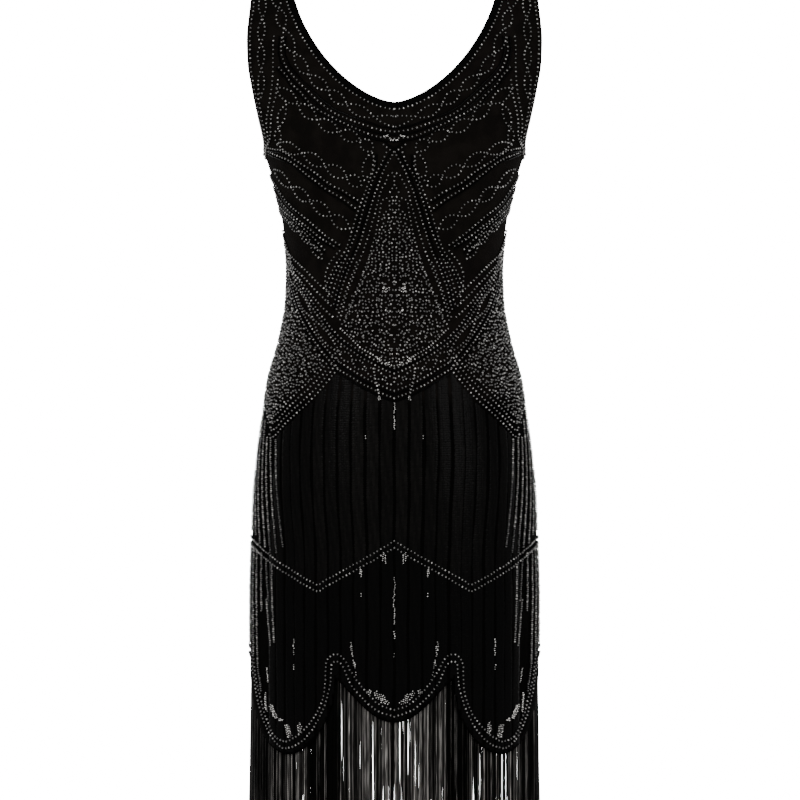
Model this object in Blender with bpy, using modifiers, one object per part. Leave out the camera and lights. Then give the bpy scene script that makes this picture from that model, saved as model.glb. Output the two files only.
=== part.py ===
"""Beaded flapper dress, filled out as it is worn, with nobody in it.

The cloth is a front and a back panel that meet at the side and shoulder seams. Both follow one
general figure: oval sections whose half width and depths are eased between the rows of a table.
A place on the form is a turn, in degrees from the middle of the front or back towards the side,
and a height. The dress hangs from the shoulders, where the origin is. +X is the wearer's left,
-Y is the front and +Z is up.
"""

import math
from collections import namedtuple

import bmesh
import bpy
import numpy as np
from mathutils import Vector

# Cloth, tape and gaps, in metres
WALL = 0.0015
SEAM_GAP = 0.0003
BINDING_WIDTH = 0.007
BINDING_THICKNESS = 0.001
LAID_GAP = 0.0003
TAPE_WIDTH = 0.007
TAPE_THICKNESS = 0.0012

# The form: half width and depths of its oval section at each height below the shoulders
Section = namedtuple("Section", "height half_width front_depth back_depth")
SECTIONS = [
    Section(0.030, 0.2035, 0.122, 0.098),
    Section(-0.012, 0.2048, 0.122, 0.098),
    Section(-0.060, 0.2072, 0.122, 0.098),
    Section(-0.100, 0.2088, 0.122, 0.098),
    Section(-0.137, 0.2034, 0.122, 0.098),
    Section(-0.175, 0.1896, 0.122, 0.098),
    Section(-0.204, 0.1763, 0.122, 0.097),
    Section(-0.240, 0.1580, 0.122, 0.095),
    Section(-0.276, 0.1464, 0.119, 0.092),
    Section(-0.324, 0.1350, 0.111, 0.086),
    Section(-0.384, 0.1284, 0.103, 0.082),
    Section(-0.420, 0.1296, 0.104, 0.087),
    Section(-0.468, 0.1380, 0.107, 0.099),
    Section(-0.516, 0.1512, 0.111, 0.113),
    Section(-0.564, 0.1585, 0.115, 0.122),
    Section(-0.612, 0.1650, 0.118, 0.126),
    Section(-0.660, 0.1692, 0.120, 0.127),
    Section(-0.708, 0.1710, 0.120, 0.126),
    Section(-0.780, 0.1730, 0.120, 0.125),
    Section(-1.080, 0.1730, 0.120, 0.123),
]

# Shoulders: the line slopes down outwards, and the depth rounds off above the given reach
SHOULDER_NECK_X = 0.130
SHOULDER_END_X = 0.168
SHOULDER_DROP_PER_X2 = 1.05
SHOULDER_ROUNDING = 0.55
FRONT_ROUNDING_REACH = 0.30
BACK_ROUNDING_REACH = 0.22

# Neckline: a scoop from the shoulder down to the middle
NECK_BOTTOM_FRONT = -0.1914
NECK_BOTTOM_BACK = -0.1800
NECK_WIDTH_POWER = 1.25
NECK_HEIGHT_POWER = 1.03
NECK_STRAP_ANGLE = 45.0

# Armhole: from the underarm, at the side, up to the shoulder's outer end
UNDERARM_HEIGHT = -0.240
ARMHOLE_ROUNDING = 0.7
ARMHOLE_STRAP_ANGLE = 58.0

# Scalloped hem: how far each scallop reaches on both sides of its lowest turn, and how deep
Scallop = namedtuple("Scallop", "turn inner_reach outer_reach depth inner_power outer_power")
HEM_HEIGHT = -0.866
SCALLOPS = [
    Scallop(0.0, 24.0, 24.0, 0.052, 0.60, 0.60),
    Scallop(46.7, 22.7, 40.0, 0.092, 0.22, 0.50),
]

# Fringe: strands hang from the tape to one level, closer together where the hem is steep
STRANDS_PER_HALF = 52
STRAND_SHARE = 0.38
STEEP_WEIGHT = 0.45
FRINGE_BOTTOM = -1.068
FRINGE_UNEVEN = 0.003
FRINGE_SWAY = 0.003
FRINGE_SWAY_WAVES = 5.0
FRINGE_UNEVEN_WAVES = 17.0

# Mesh: rows and columns of one half of a panel
NECK_COLUMNS = 12
STRAP_COLUMNS = 7
SIDE_ROWS = 16
ARMHOLE_ROWS = 7
STRAP_ROWS = 8
CENTRE_BREAK_HEIGHT = -0.300
PATH_SAMPLES = 240

MERGE_DISTANCE = 0.00001

Finish = namedtuple("Finish", "name colour roughness")
CLOTH = Finish("black_net", (0.010, 0.010, 0.011), 0.75)
SATIN = Finish("black_satin", (0.008, 0.008, 0.009), 0.45)
THREAD = Finish("black_thread", (0.009, 0.009, 0.010), 0.60)


class Eased:
    """A smooth curve through given values that never runs past them."""

    def __init__(self, places, values):
        order = np.argsort(places)
        self.places = np.asarray(places, float)[order]
        self.values = np.asarray(values, float)[order]
        rises = np.diff(self.values) / np.diff(self.places)
        product = rises[1:] * rises[:-1]
        total = rises[1:] + rises[:-1]
        inner = np.where(product > 0, 2 * product / np.where(total == 0, 1, total), 0)
        self.slopes = np.concatenate([rises[:1], inner, rises[-1:]])

    def __call__(self, place):
        last = len(self.places) - 2
        index = min(max(int(np.searchsorted(self.places, place)) - 1, 0), last)
        step = self.places[index + 1] - self.places[index]
        t = min(max((place - self.places[index]) / step, 0.0), 1.0)
        start, end = self.values[index], self.values[index + 1]
        start_slope, end_slope = self.slopes[index] * step, self.slopes[index + 1] * step
        held = start * (2 * t**3 - 3 * t**2 + 1) + end * (3 * t**2 - 2 * t**3)
        return held + start_slope * (t**3 - 2 * t**2 + t) + end_slope * (t**3 - t**2)


HEIGHTS = [row.height for row in SECTIONS]
half_width = Eased(HEIGHTS, [row.half_width for row in SECTIONS])
front_depth = Eased(HEIGHTS, [row.front_depth for row in SECTIONS])
back_depth = Eased(HEIGHTS, [row.back_depth for row in SECTIONS])

Side = namedtuple("Side", "name forward depth rounding_reach neck_bottom")
FRONT = Side("front", -1, front_depth, FRONT_ROUNDING_REACH, NECK_BOTTOM_FRONT)
BACK = Side("back", 1, back_depth, BACK_ROUNDING_REACH, NECK_BOTTOM_BACK)


def shoulder_line(x):
    """Height of the shoulder seam above or below its neck end."""
    return SHOULDER_DROP_PER_X2 * (SHOULDER_NECK_X**2 - x**2)


def on_form(side, turn, height):
    """The point of the form at a turn and a height, kept half a seam gap from the seam plane."""
    angle = math.radians(turn)
    x = half_width(height) * math.sin(angle)
    fall = min(max(shoulder_line(x) - height, 0.0) / side.rounding_reach, 1.0)
    rounding = (1 - (1 - fall) ** 2) ** SHOULDER_ROUNDING
    depth = side.depth(height) * rounding * math.cos(angle)
    return Vector((x, side.forward * max(depth, SEAM_GAP / 2), height))


def turn_of(x, height):
    """The turn at which the form has the given distance from its middle."""
    return math.degrees(math.asin(min(x / half_width(height), 1.0)))


def neckline(side, angle):
    """Place on the neckline, from 0 at its lowest point to 90 at the shoulder."""
    swing = math.radians(angle)
    x = SHOULDER_NECK_X * math.sin(swing) ** NECK_WIDTH_POWER
    height = side.neck_bottom * max(math.cos(swing), 0.0) ** NECK_HEIGHT_POWER
    return turn_of(x, height), height


def armhole(angle):
    """Place on the armhole's edge, from 0 at the underarm to 90 at the shoulder."""
    swing = math.radians(angle)
    end_height = shoulder_line(SHOULDER_END_X)
    end_turn = turn_of(SHOULDER_END_X, end_height)
    height = UNDERARM_HEIGHT + (end_height - UNDERARM_HEIGHT) * (1 - math.cos(swing))
    turn = 90 - (90 - end_turn) * math.sin(swing) ** ARMHOLE_ROUNDING
    return turn, height


def hem_height(turn):
    """Height of the scalloped hem at a turn."""
    height = HEM_HEIGHT
    for scallop in SCALLOPS:
        outside = turn > scallop.turn
        reach = scallop.outer_reach if outside else scallop.inner_reach
        power = scallop.outer_power if outside else scallop.inner_power
        share = min(abs(turn - scallop.turn) / reach, 1.0)
        lobe = max(0.5 + 0.5 * math.cos(math.pi * share), 0.0)
        height -= scallop.depth * lobe**power
    return height


def evenly(side, place, start, end, count):
    """Places along a curve of the form, one at each end and at equal lengths between."""
    values = [start + (end - start) * i / PATH_SAMPLES for i in range(PATH_SAMPLES + 1)]
    path = [place(value) for value in values]
    points = [on_form(side, *spot) for spot in path]
    lengths = [0.0]
    for before, after in zip(points, points[1:]):
        lengths.append(lengths[-1] + (after - before).length)
    wanted = np.linspace(0.0, lengths[-1], count + 1)
    turns = np.interp(wanted, lengths, [spot[0] for spot in path])
    heights = np.interp(wanted, lengths, [spot[1] for spot in path])
    return list(zip(turns, heights))


def mixed(start, end, share):
    """A place between two places of the strap, at the same share of the fall and the turn."""
    falls = []
    for turn, height in (start, end):
        x = half_width(height) * math.sin(math.radians(turn))
        falls.append(shoulder_line(x) - height)
    turn = start[0] + (end[0] - start[0]) * share
    fall = falls[0] + (falls[1] - falls[0]) * share
    height = start[1] + (end[1] - start[1]) * share
    for _ in range(4):
        x = half_width(height) * math.sin(math.radians(turn))
        height = shoulder_line(x) - fall
    return turn, height


def strap_rows(side):
    """Rows of places across the strap, from its foot up to the shoulder seam."""
    inner = evenly(side, lambda a: neckline(side, a), NECK_STRAP_ANGLE, 90, STRAP_ROWS)
    outer = evenly(side, armhole, ARMHOLE_STRAP_ANGLE, 90, STRAP_ROWS)
    shares = [i / STRAP_COLUMNS for i in range(STRAP_COLUMNS + 1)]
    return [[mixed(a, b, share) for share in shares] for a, b in zip(inner, outer)]


def body_rows(side, strap_foot):
    """Rows of places from the hem up to the neckline, blended between their four edges."""
    columns = NECK_COLUMNS + STRAP_COLUMNS
    rows = SIDE_ROWS + ARMHOLE_ROWS
    hem = evenly(side, lambda turn: (turn, hem_height(turn)), 0, 90, columns)
    neck = evenly(side, lambda a: neckline(side, a), 0, NECK_STRAP_ANGLE, NECK_COLUMNS)
    top = neck + strap_foot[1:]
    low = evenly(side, lambda z: (0, z), hem[0][1], CENTRE_BREAK_HEIGHT, SIDE_ROWS)
    high = evenly(side, lambda z: (0, z), CENTRE_BREAK_HEIGHT, side.neck_bottom, ARMHOLE_ROWS)
    centre = low + high[1:]
    seam = evenly(side, lambda z: (90, z), hem[-1][1], UNDERARM_HEIGHT, SIDE_ROWS)
    arm = evenly(side, armhole, 0, ARMHOLE_STRAP_ANGLE, ARMHOLE_ROWS)
    edge = seam + arm[1:]
    grid = []
    for j in range(rows + 1):
        v = j / rows
        row = []
        for i in range(columns + 1):
            u = i / columns
            spot = []
            for k in range(2):
                upright = (1 - v) * hem[i][k] + v * top[i][k]
                across = (1 - u) * centre[j][k] + u * edge[j][k]
                low_corners = (1 - u) * hem[0][k] + u * hem[-1][k]
                high_corners = (1 - u) * top[0][k] + u * top[-1][k]
                spot.append(upright + across - (1 - v) * low_corners - v * high_corners)
            row.append(tuple(spot))
        grid.append(row)
    return grid


def add_quads(mesh, rows, forward):
    """Quads between rows of corners, facing forwards or backwards."""
    for lower, upper in zip(rows, rows[1:]):
        for i in range(len(lower) - 1):
            corners = [lower[i], lower[i + 1], upper[i + 1], upper[i]]
            mesh.faces.new(corners if forward < 0 else corners[::-1])


def half_sheet(side):
    """The outer surface of half a panel, as a mesh, and its corners by row."""
    mesh = bmesh.new()
    strap = strap_rows(side)
    body = body_rows(side, strap[0])
    body_corners = [[mesh.verts.new(on_form(side, *spot)) for spot in row] for row in body]
    strap_corners = [body_corners[-1][NECK_COLUMNS:]]
    for row in strap[1:]:
        strap_corners.append([mesh.verts.new(on_form(side, *spot)) for spot in row])
    for corner in [row[0] for row in body_corners]:
        corner.co.x = 0.0
    add_quads(mesh, body_corners, side.forward)
    add_quads(mesh, strap_corners, side.forward)
    mesh.normal_update()
    return mesh, body_corners, strap_corners


def edge_normal(corner):
    """A corner's normal, turned into the mirror plane or the seam plane where it lies on one."""
    normal = corner.normal.copy()
    if corner.co.x < MERGE_DISTANCE:
        normal.x = 0.0
    if abs(corner.co.y) < SEAM_GAP / 2 + MERGE_DISTANCE:
        normal.y = 0.0
    return normal.normalized()


def make_material(finish):
    """A plain material in a finish's colour and roughness."""
    material = bpy.data.materials.new(finish.name)
    material.use_nodes = True
    shader = material.node_tree.nodes["Principled BSDF"]
    shader.inputs["Base Color"].default_value = (*finish.colour, 1.0)
    shader.inputs["Roughness"].default_value = finish.roughness
    shader.inputs["Metallic"].default_value = 0.0
    return material


def make_object(name, mesh, finish, collection):
    """An object that holds half a piece and mirrors it to the other side."""
    data = bpy.data.meshes.new(name)
    mesh.to_mesh(data)
    mesh.free()
    data.materials.append(make_material(finish))
    data.shade_smooth()
    piece = bpy.data.objects.new(name, data)
    collection.objects.link(piece)
    mirror = piece.modifiers.new("Mirror", "MIRROR")
    mirror.use_axis = (True, False, False)
    mirror.merge_threshold = MERGE_DISTANCE


def give_wall(mesh, thickness):
    """Turns an open half surface into a wall, inwards or, if negative, outwards.

    The far face moves along the corners' normals. Rims close every edge but the mirror plane's.
    """
    near_faces = list(mesh.faces)
    rims = [edge for edge in mesh.edges if edge.is_boundary]
    shift = {corner: edge_normal(corner) * thickness for corner in mesh.verts}
    far = {corner: mesh.verts.new(corner.co - move) for corner, move in shift.items()}
    for face in near_faces:
        mesh.faces.new([far[corner] for corner in reversed(face.verts)])
    for edge in rims:
        loop = edge.link_loops[0]
        start, end = loop.vert, loop.link_loop_next.vert
        if max(start.co.x, end.co.x) > MERGE_DISTANCE:
            mesh.faces.new([end, start, far[start], far[end]])
    if thickness < 0:
        bmesh.ops.reverse_faces(mesh, faces=mesh.faces)


def panel(side, collection):
    """A whole front or back, from shoulder to hem."""
    mesh = half_sheet(side)[0]
    give_wall(mesh, WALL)
    make_object(f"{side.name}_panel", mesh, CLOTH, collection)


def neck_edge(body, strap):
    """Corners of the neckline, each with the corners next to it inside the cloth."""
    edge = [(body[-1][i], [body[-2][i]]) for i in range(NECK_COLUMNS)]
    edge.append((body[-1][NECK_COLUMNS], [body[-2][NECK_COLUMNS], strap[0][1]]))
    edge += [(row[0], [row[1]]) for row in strap[1:]]
    return edge


def neck_binding(side, collection):
    """The strip that lies on a panel along its neckline, of one width all along."""
    sheet, body, strap = half_sheet(side)
    edge = neck_edge(body, strap)
    mesh = bmesh.new()
    outer_row = []
    inner_row = []
    for index, (corner, inside) in enumerate(edge):
        before = edge[max(index - 1, 0)][0].co
        after = edge[min(index + 1, len(edge) - 1)][0].co
        along = (after - before).normalized()
        inwards = Vector()
        for neighbour in inside:
            inwards += (neighbour.co - corner.co).normalized()
        inwards *= BINDING_WIDTH / inwards.cross(along).length
        raised = corner.co + edge_normal(corner) * LAID_GAP
        outer_row.append(mesh.verts.new(raised))
        inner_row.append(mesh.verts.new(raised + inwards))
    sheet.free()
    add_quads(mesh, [inner_row, outer_row], side.forward)
    mesh.normal_update()
    give_wall(mesh, -BINDING_THICKNESS)
    make_object(f"neck_binding_{side.name}", mesh, SATIN, collection)


def tape_stations(hem):
    """Stations along the hem as index and share, a pair for each strand, and both ends."""
    lengths = [0.0]
    for before, after in zip(hem, hem[1:]):
        step = after.co - before.co
        step.z *= STEEP_WEIGHT
        lengths.append(lengths[-1] + step.length)
    pitch = lengths[-1] / STRANDS_PER_HALF
    wanted = [0.0]
    for strand in range(STRANDS_PER_HALF):
        middle = (strand + 0.5) * pitch
        wanted.append(middle - STRAND_SHARE * pitch / 2)
        wanted.append(middle + STRAND_SHARE * pitch / 2)
    wanted.append(lengths[-1])
    stations = []
    for length in wanted:
        index = min(max(int(np.searchsorted(lengths, length)) - 1, 0), len(hem) - 2)
        share = (length - lengths[index]) / (lengths[index + 1] - lengths[index])
        stations.append((index, share))
    return stations


def tape_section(hem, above, station):
    """The tape's four corners at a station, just inside the panel's wall."""
    index, share = station
    edge = hem[index].co.lerp(hem[index + 1].co, share)
    over = above[index].co.lerp(above[index + 1].co, share)
    normals = edge_normal(hem[index]), edge_normal(hem[index + 1])
    normal = normals[0].lerp(normals[1], share).normalized()
    rise = (over - edge).normalized() * TAPE_WIDTH
    outer = edge - normal * (WALL + LAID_GAP)
    inner = outer - normal * TAPE_THICKNESS
    return [outer, outer + rise, inner + rise, inner]


def hang(mesh, root, share):
    """Draws one strand down from its root face on the tape."""
    extruded = bmesh.ops.extrude_discrete_faces(mesh, faces=[root])["faces"][0]
    middle = extruded.calc_center_median()
    uneven = FRINGE_UNEVEN * math.sin(math.tau * FRINGE_UNEVEN_WAVES * share)
    sway = FRINGE_SWAY * math.sin(math.tau * FRINGE_SWAY_WAVES * share)
    for corner in extruded.verts:
        corner.co.x += sway
        corner.co.y = corner.co.y * 0.4 + middle.y * 0.6
        corner.co.z = FRINGE_BOTTOM + uneven


def fringe(side, collection):
    """The tape inside a panel's hem, with its strands fused to it."""
    sheet, body, _ = half_sheet(side)
    hem, above = body[0], body[1]
    mesh = bmesh.new()
    rings = []
    for station in tape_stations(hem):
        section = tape_section(hem, above, station)
        rings.append([mesh.verts.new(corner) for corner in section])
    sheet.free()
    roots = []
    for number, (ring, following) in enumerate(zip(rings, rings[1:])):
        for k in range(4):
            after = (k + 1) % 4
            corners = [ring[k], following[k], following[after], ring[after]]
            face = mesh.faces.new(corners if side.forward < 0 else corners[::-1])
            if k == 3 and number % 2 == 1:
                roots.append(face)
    cap = rings[-1][::-1] if side.forward < 0 else rings[-1]
    mesh.faces.new(cap)
    for number, root in enumerate(roots):
        hang(mesh, root, number / STRANDS_PER_HALF)
    mesh.normal_update()
    make_object(f"fringe_{side.name}", mesh, THREAD, collection)


def clear_scene():
    """Takes every object out of the scene."""
    for leftover in list(bpy.data.objects):
        bpy.data.objects.remove(leftover, do_unlink=True)


def main():
    """Builds the dress, piece by piece."""
    clear_scene()
    collection = bpy.data.collections.new("flapper_dress")
    bpy.context.scene.collection.children.link(collection)
    for side in (FRONT, BACK):
        panel(side, collection)
        neck_binding(side, collection)
        fringe(side, collection)


main()
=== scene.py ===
"""Flapper dress: black net with glass beadwork and thread fringe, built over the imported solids.

A place on the dress is a side, a turn and a height. The turn is in degrees round the body, from 0 at the
middle of the side to 90 at the side seam, and negative towards -X. The height is in metres and is 0 at
the neck ends of the shoulder seams. Other sizes are in metres too.
"""
import logging
import math
from collections.abc import Callable
from dataclasses import dataclass, field
from enum import Enum
from typing import NamedTuple

import bpy
import numpy as np
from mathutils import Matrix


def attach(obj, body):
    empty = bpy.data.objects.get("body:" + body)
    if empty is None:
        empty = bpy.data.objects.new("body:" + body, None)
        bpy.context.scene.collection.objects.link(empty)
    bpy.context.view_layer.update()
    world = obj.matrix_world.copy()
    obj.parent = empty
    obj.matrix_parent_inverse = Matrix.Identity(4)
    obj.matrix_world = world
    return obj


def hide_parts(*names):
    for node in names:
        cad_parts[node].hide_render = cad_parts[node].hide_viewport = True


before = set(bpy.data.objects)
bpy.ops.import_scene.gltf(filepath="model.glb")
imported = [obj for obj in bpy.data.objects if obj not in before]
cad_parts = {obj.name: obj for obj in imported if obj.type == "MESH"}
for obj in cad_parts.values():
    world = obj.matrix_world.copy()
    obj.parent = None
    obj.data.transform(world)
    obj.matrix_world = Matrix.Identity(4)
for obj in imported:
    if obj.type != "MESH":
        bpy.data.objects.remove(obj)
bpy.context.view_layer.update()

LOG = logging.getLogger("flapper_dress")

BODY = "root"
SEAM_GAP = 0.0003

Array = np.ndarray
Colour = tuple[float, float, float]
Knots = tuple[tuple[float, float], ...]
Object = bpy.types.Object
Socket = bpy.types.NodeSocket


class Side(Enum):
    """The two sides of the dress; the value is the way the side faces along Y."""

    FRONT = -1
    BACK = 1

    @property
    def label(self) -> str:
        """The side's name as the pieces use it."""
        return self.name.lower()


FRONT, BACK = Side


class Slot(Enum):
    """The finishes that the dress is made in, by the record's names."""

    NET = "net"
    SATIN = "satin"
    FRINGE = "fringe"
    SILVER = "silver_beads"
    BLACK = "black_beads"


# ---------------------------------------------------------------------------------------------- form


class Section(NamedTuple):
    """One level of the filled-out dress."""

    height: float
    half_width: float
    front_depth: float
    back_depth: float


SECTIONS = tuple(
    Section(*row)
    for row in (
        (0.030, 0.2035, 0.122, 0.098),
        (-0.012, 0.2048, 0.122, 0.098),
        (-0.060, 0.2072, 0.122, 0.098),
        (-0.100, 0.2088, 0.122, 0.098),
        (-0.137, 0.2034, 0.122, 0.098),
        (-0.175, 0.1896, 0.122, 0.098),
        (-0.204, 0.1763, 0.122, 0.097),
        (-0.240, 0.1580, 0.122, 0.095),
        (-0.276, 0.1464, 0.119, 0.092),
        (-0.324, 0.1350, 0.111, 0.086),
        (-0.384, 0.1284, 0.103, 0.082),
        (-0.420, 0.1296, 0.104, 0.087),
        (-0.468, 0.1380, 0.107, 0.099),
        (-0.516, 0.1512, 0.111, 0.113),
        (-0.564, 0.1585, 0.115, 0.122),
        (-0.612, 0.1650, 0.118, 0.126),
        (-0.660, 0.1692, 0.120, 0.127),
        (-0.708, 0.1710, 0.120, 0.126),
        (-0.780, 0.1730, 0.120, 0.125),
        (-1.080, 0.1730, 0.120, 0.123),
    )
)


class Scallop(NamedTuple):
    """One scallop of the hem: how far it reaches on both sides of its lowest turn, and how deep."""

    turn: float
    inner_reach: float
    outer_reach: float
    depth: float
    inner_power: float
    outer_power: float


SCALLOPS = (Scallop(0.0, 24.0, 24.0, 0.052, 0.60, 0.60), Scallop(46.7, 22.7, 40.0, 0.092, 0.22, 0.50))


class Crease(NamedTuple):
    """A soft ridge, or with a negative rise a hollow, laid on the cloth."""

    side: Side
    turn: float
    height: float
    length: float
    width: float
    lean: float
    rise: float


CREASES = tuple(
    Crease(*row)
    for row in (
        (FRONT, 34, -0.285, 0.070, 0.014, 62, 0.0012),
        (FRONT, -37, -0.292, 0.064, 0.013, -60, 0.0011),
        (FRONT, 52, -0.335, 0.060, 0.012, 78, -0.0011),
        (FRONT, -50, -0.328, 0.056, 0.013, -80, -0.0010),
        (FRONT, 60, -0.392, 0.050, 0.010, 84, 0.0013),
        (FRONT, -58, -0.386, 0.052, 0.011, -86, 0.0012),
        (FRONT, 64, -0.418, 0.045, 0.009, 95, -0.0010),
        (FRONT, -63, -0.412, 0.044, 0.010, -97, -0.0011),
        (FRONT, 20, -0.640, 0.120, 0.022, 6, 0.0013),
        (FRONT, -26, -0.660, 0.130, 0.024, -7, 0.0012),
        (FRONT, 3, -0.730, 0.110, 0.026, 2, -0.0014),
        (FRONT, 50, -0.760, 0.120, 0.024, 5, 0.0015),
        (FRONT, -54, -0.750, 0.130, 0.026, -4, 0.0014),
        (BACK, 8, -0.360, 0.060, 0.012, 88, 0.0016),
        (BACK, -10, -0.384, 0.064, 0.013, 92, -0.0014),
        (BACK, 14, -0.408, 0.060, 0.012, 86, 0.0015),
        (BACK, -34, -0.345, 0.060, 0.012, -76, 0.0012),
        (BACK, 40, -0.352, 0.058, 0.012, 74, 0.0012),
        (BACK, 46, -0.250, 0.070, 0.015, 40, 0.0012),
        (BACK, -44, -0.258, 0.070, 0.015, -42, 0.0013),
        (BACK, 2, -0.690, 0.130, 0.026, 0, -0.0018),
        (BACK, 28, -0.730, 0.130, 0.024, 5, 0.0016),
        (BACK, -30, -0.720, 0.130, 0.025, -5, 0.0015),
        (BACK, 58, -0.760, 0.120, 0.024, 4, 0.0012),
    )
)


def unit(vectors: Array) -> Array:
    """Vectors at length one."""
    return vectors / np.maximum(np.linalg.norm(vectors, axis=-1, keepdims=True), 1e-12)


def level(vectors: Array, normals: Array) -> Array:
    """Vectors laid flat on a surface with the given normals, at length one."""
    return unit(vectors - normals * (vectors * normals).sum(1, keepdims=True))


class Eased:
    """A smooth curve through given values that never runs past them."""

    def __init__(self, places: Array, values: Array) -> None:
        """Works out the curve's slopes.

        Args:
            places: Where the values are given, in any order.
            values: The value at each place.
        """
        order = np.argsort(places)
        self.places = np.asarray(places, float)[order]
        self.values = np.asarray(values, float)[order]
        rises = np.diff(self.values) / np.diff(self.places)
        product, total = rises[1:] * rises[:-1], rises[1:] + rises[:-1]
        inner = np.where(product > 0, 2 * product / np.where(total == 0, 1, total), 0)
        self.slopes = np.concatenate([rises[:1], inner, rises[-1:]])

    def __call__(self, place: Array) -> Array:
        """Reads the curve.

        Args:
            place: Where to read it.

        Returns:
            The value at each place.
        """
        place = np.asarray(place, float)
        index = np.clip(np.searchsorted(self.places, place) - 1, 0, len(self.places) - 2)
        step = self.places[index + 1] - self.places[index]
        t = np.clip((place - self.places[index]) / step, 0.0, 1.0)
        start, end = self.values[index], self.values[index + 1]
        start_slope, end_slope = self.slopes[index] * step, self.slopes[index + 1] * step
        held = start * (2 * t**3 - 3 * t**2 + 1) + end * (3 * t**2 - 2 * t**3)
        return held + start_slope * (t**3 - 2 * t**2 + t) + end_slope * (t**3 - t**2)


@dataclass
class Places:
    """Places on one side of the dress. In order, they make a line or the rows of a grid."""

    side: Side
    turns: Array
    heights: Array

    def __getitem__(self, kept: slice | Array) -> "Places":
        """Some of the places."""
        return Places(self.side, self.turns[kept], self.heights[kept])

    def moved(self, turn: float | Array = 0.0, height: float | Array = 0.0) -> "Places":
        """The places, each further round and further up."""
        return Places(self.side, self.turns + turn, self.heights + height)

    def mirrored(self) -> "Places":
        """The same places on the other half of the side."""
        return Places(self.side, -self.turns, self.heights)

    def both(self) -> list["Places"]:
        """The places and their mirror image."""
        return [self, self.mirrored()]

    def then(self, other: "Places") -> "Places":
        """This line and one that starts where it ends."""
        turns = np.concatenate([self.turns, other.turns[1:]])
        return Places(self.side, turns, np.concatenate([self.heights, other.heights[1:]]))


Surface = Callable[[Places], Array]
Edge = Callable[[Side, Array], Places]


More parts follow.
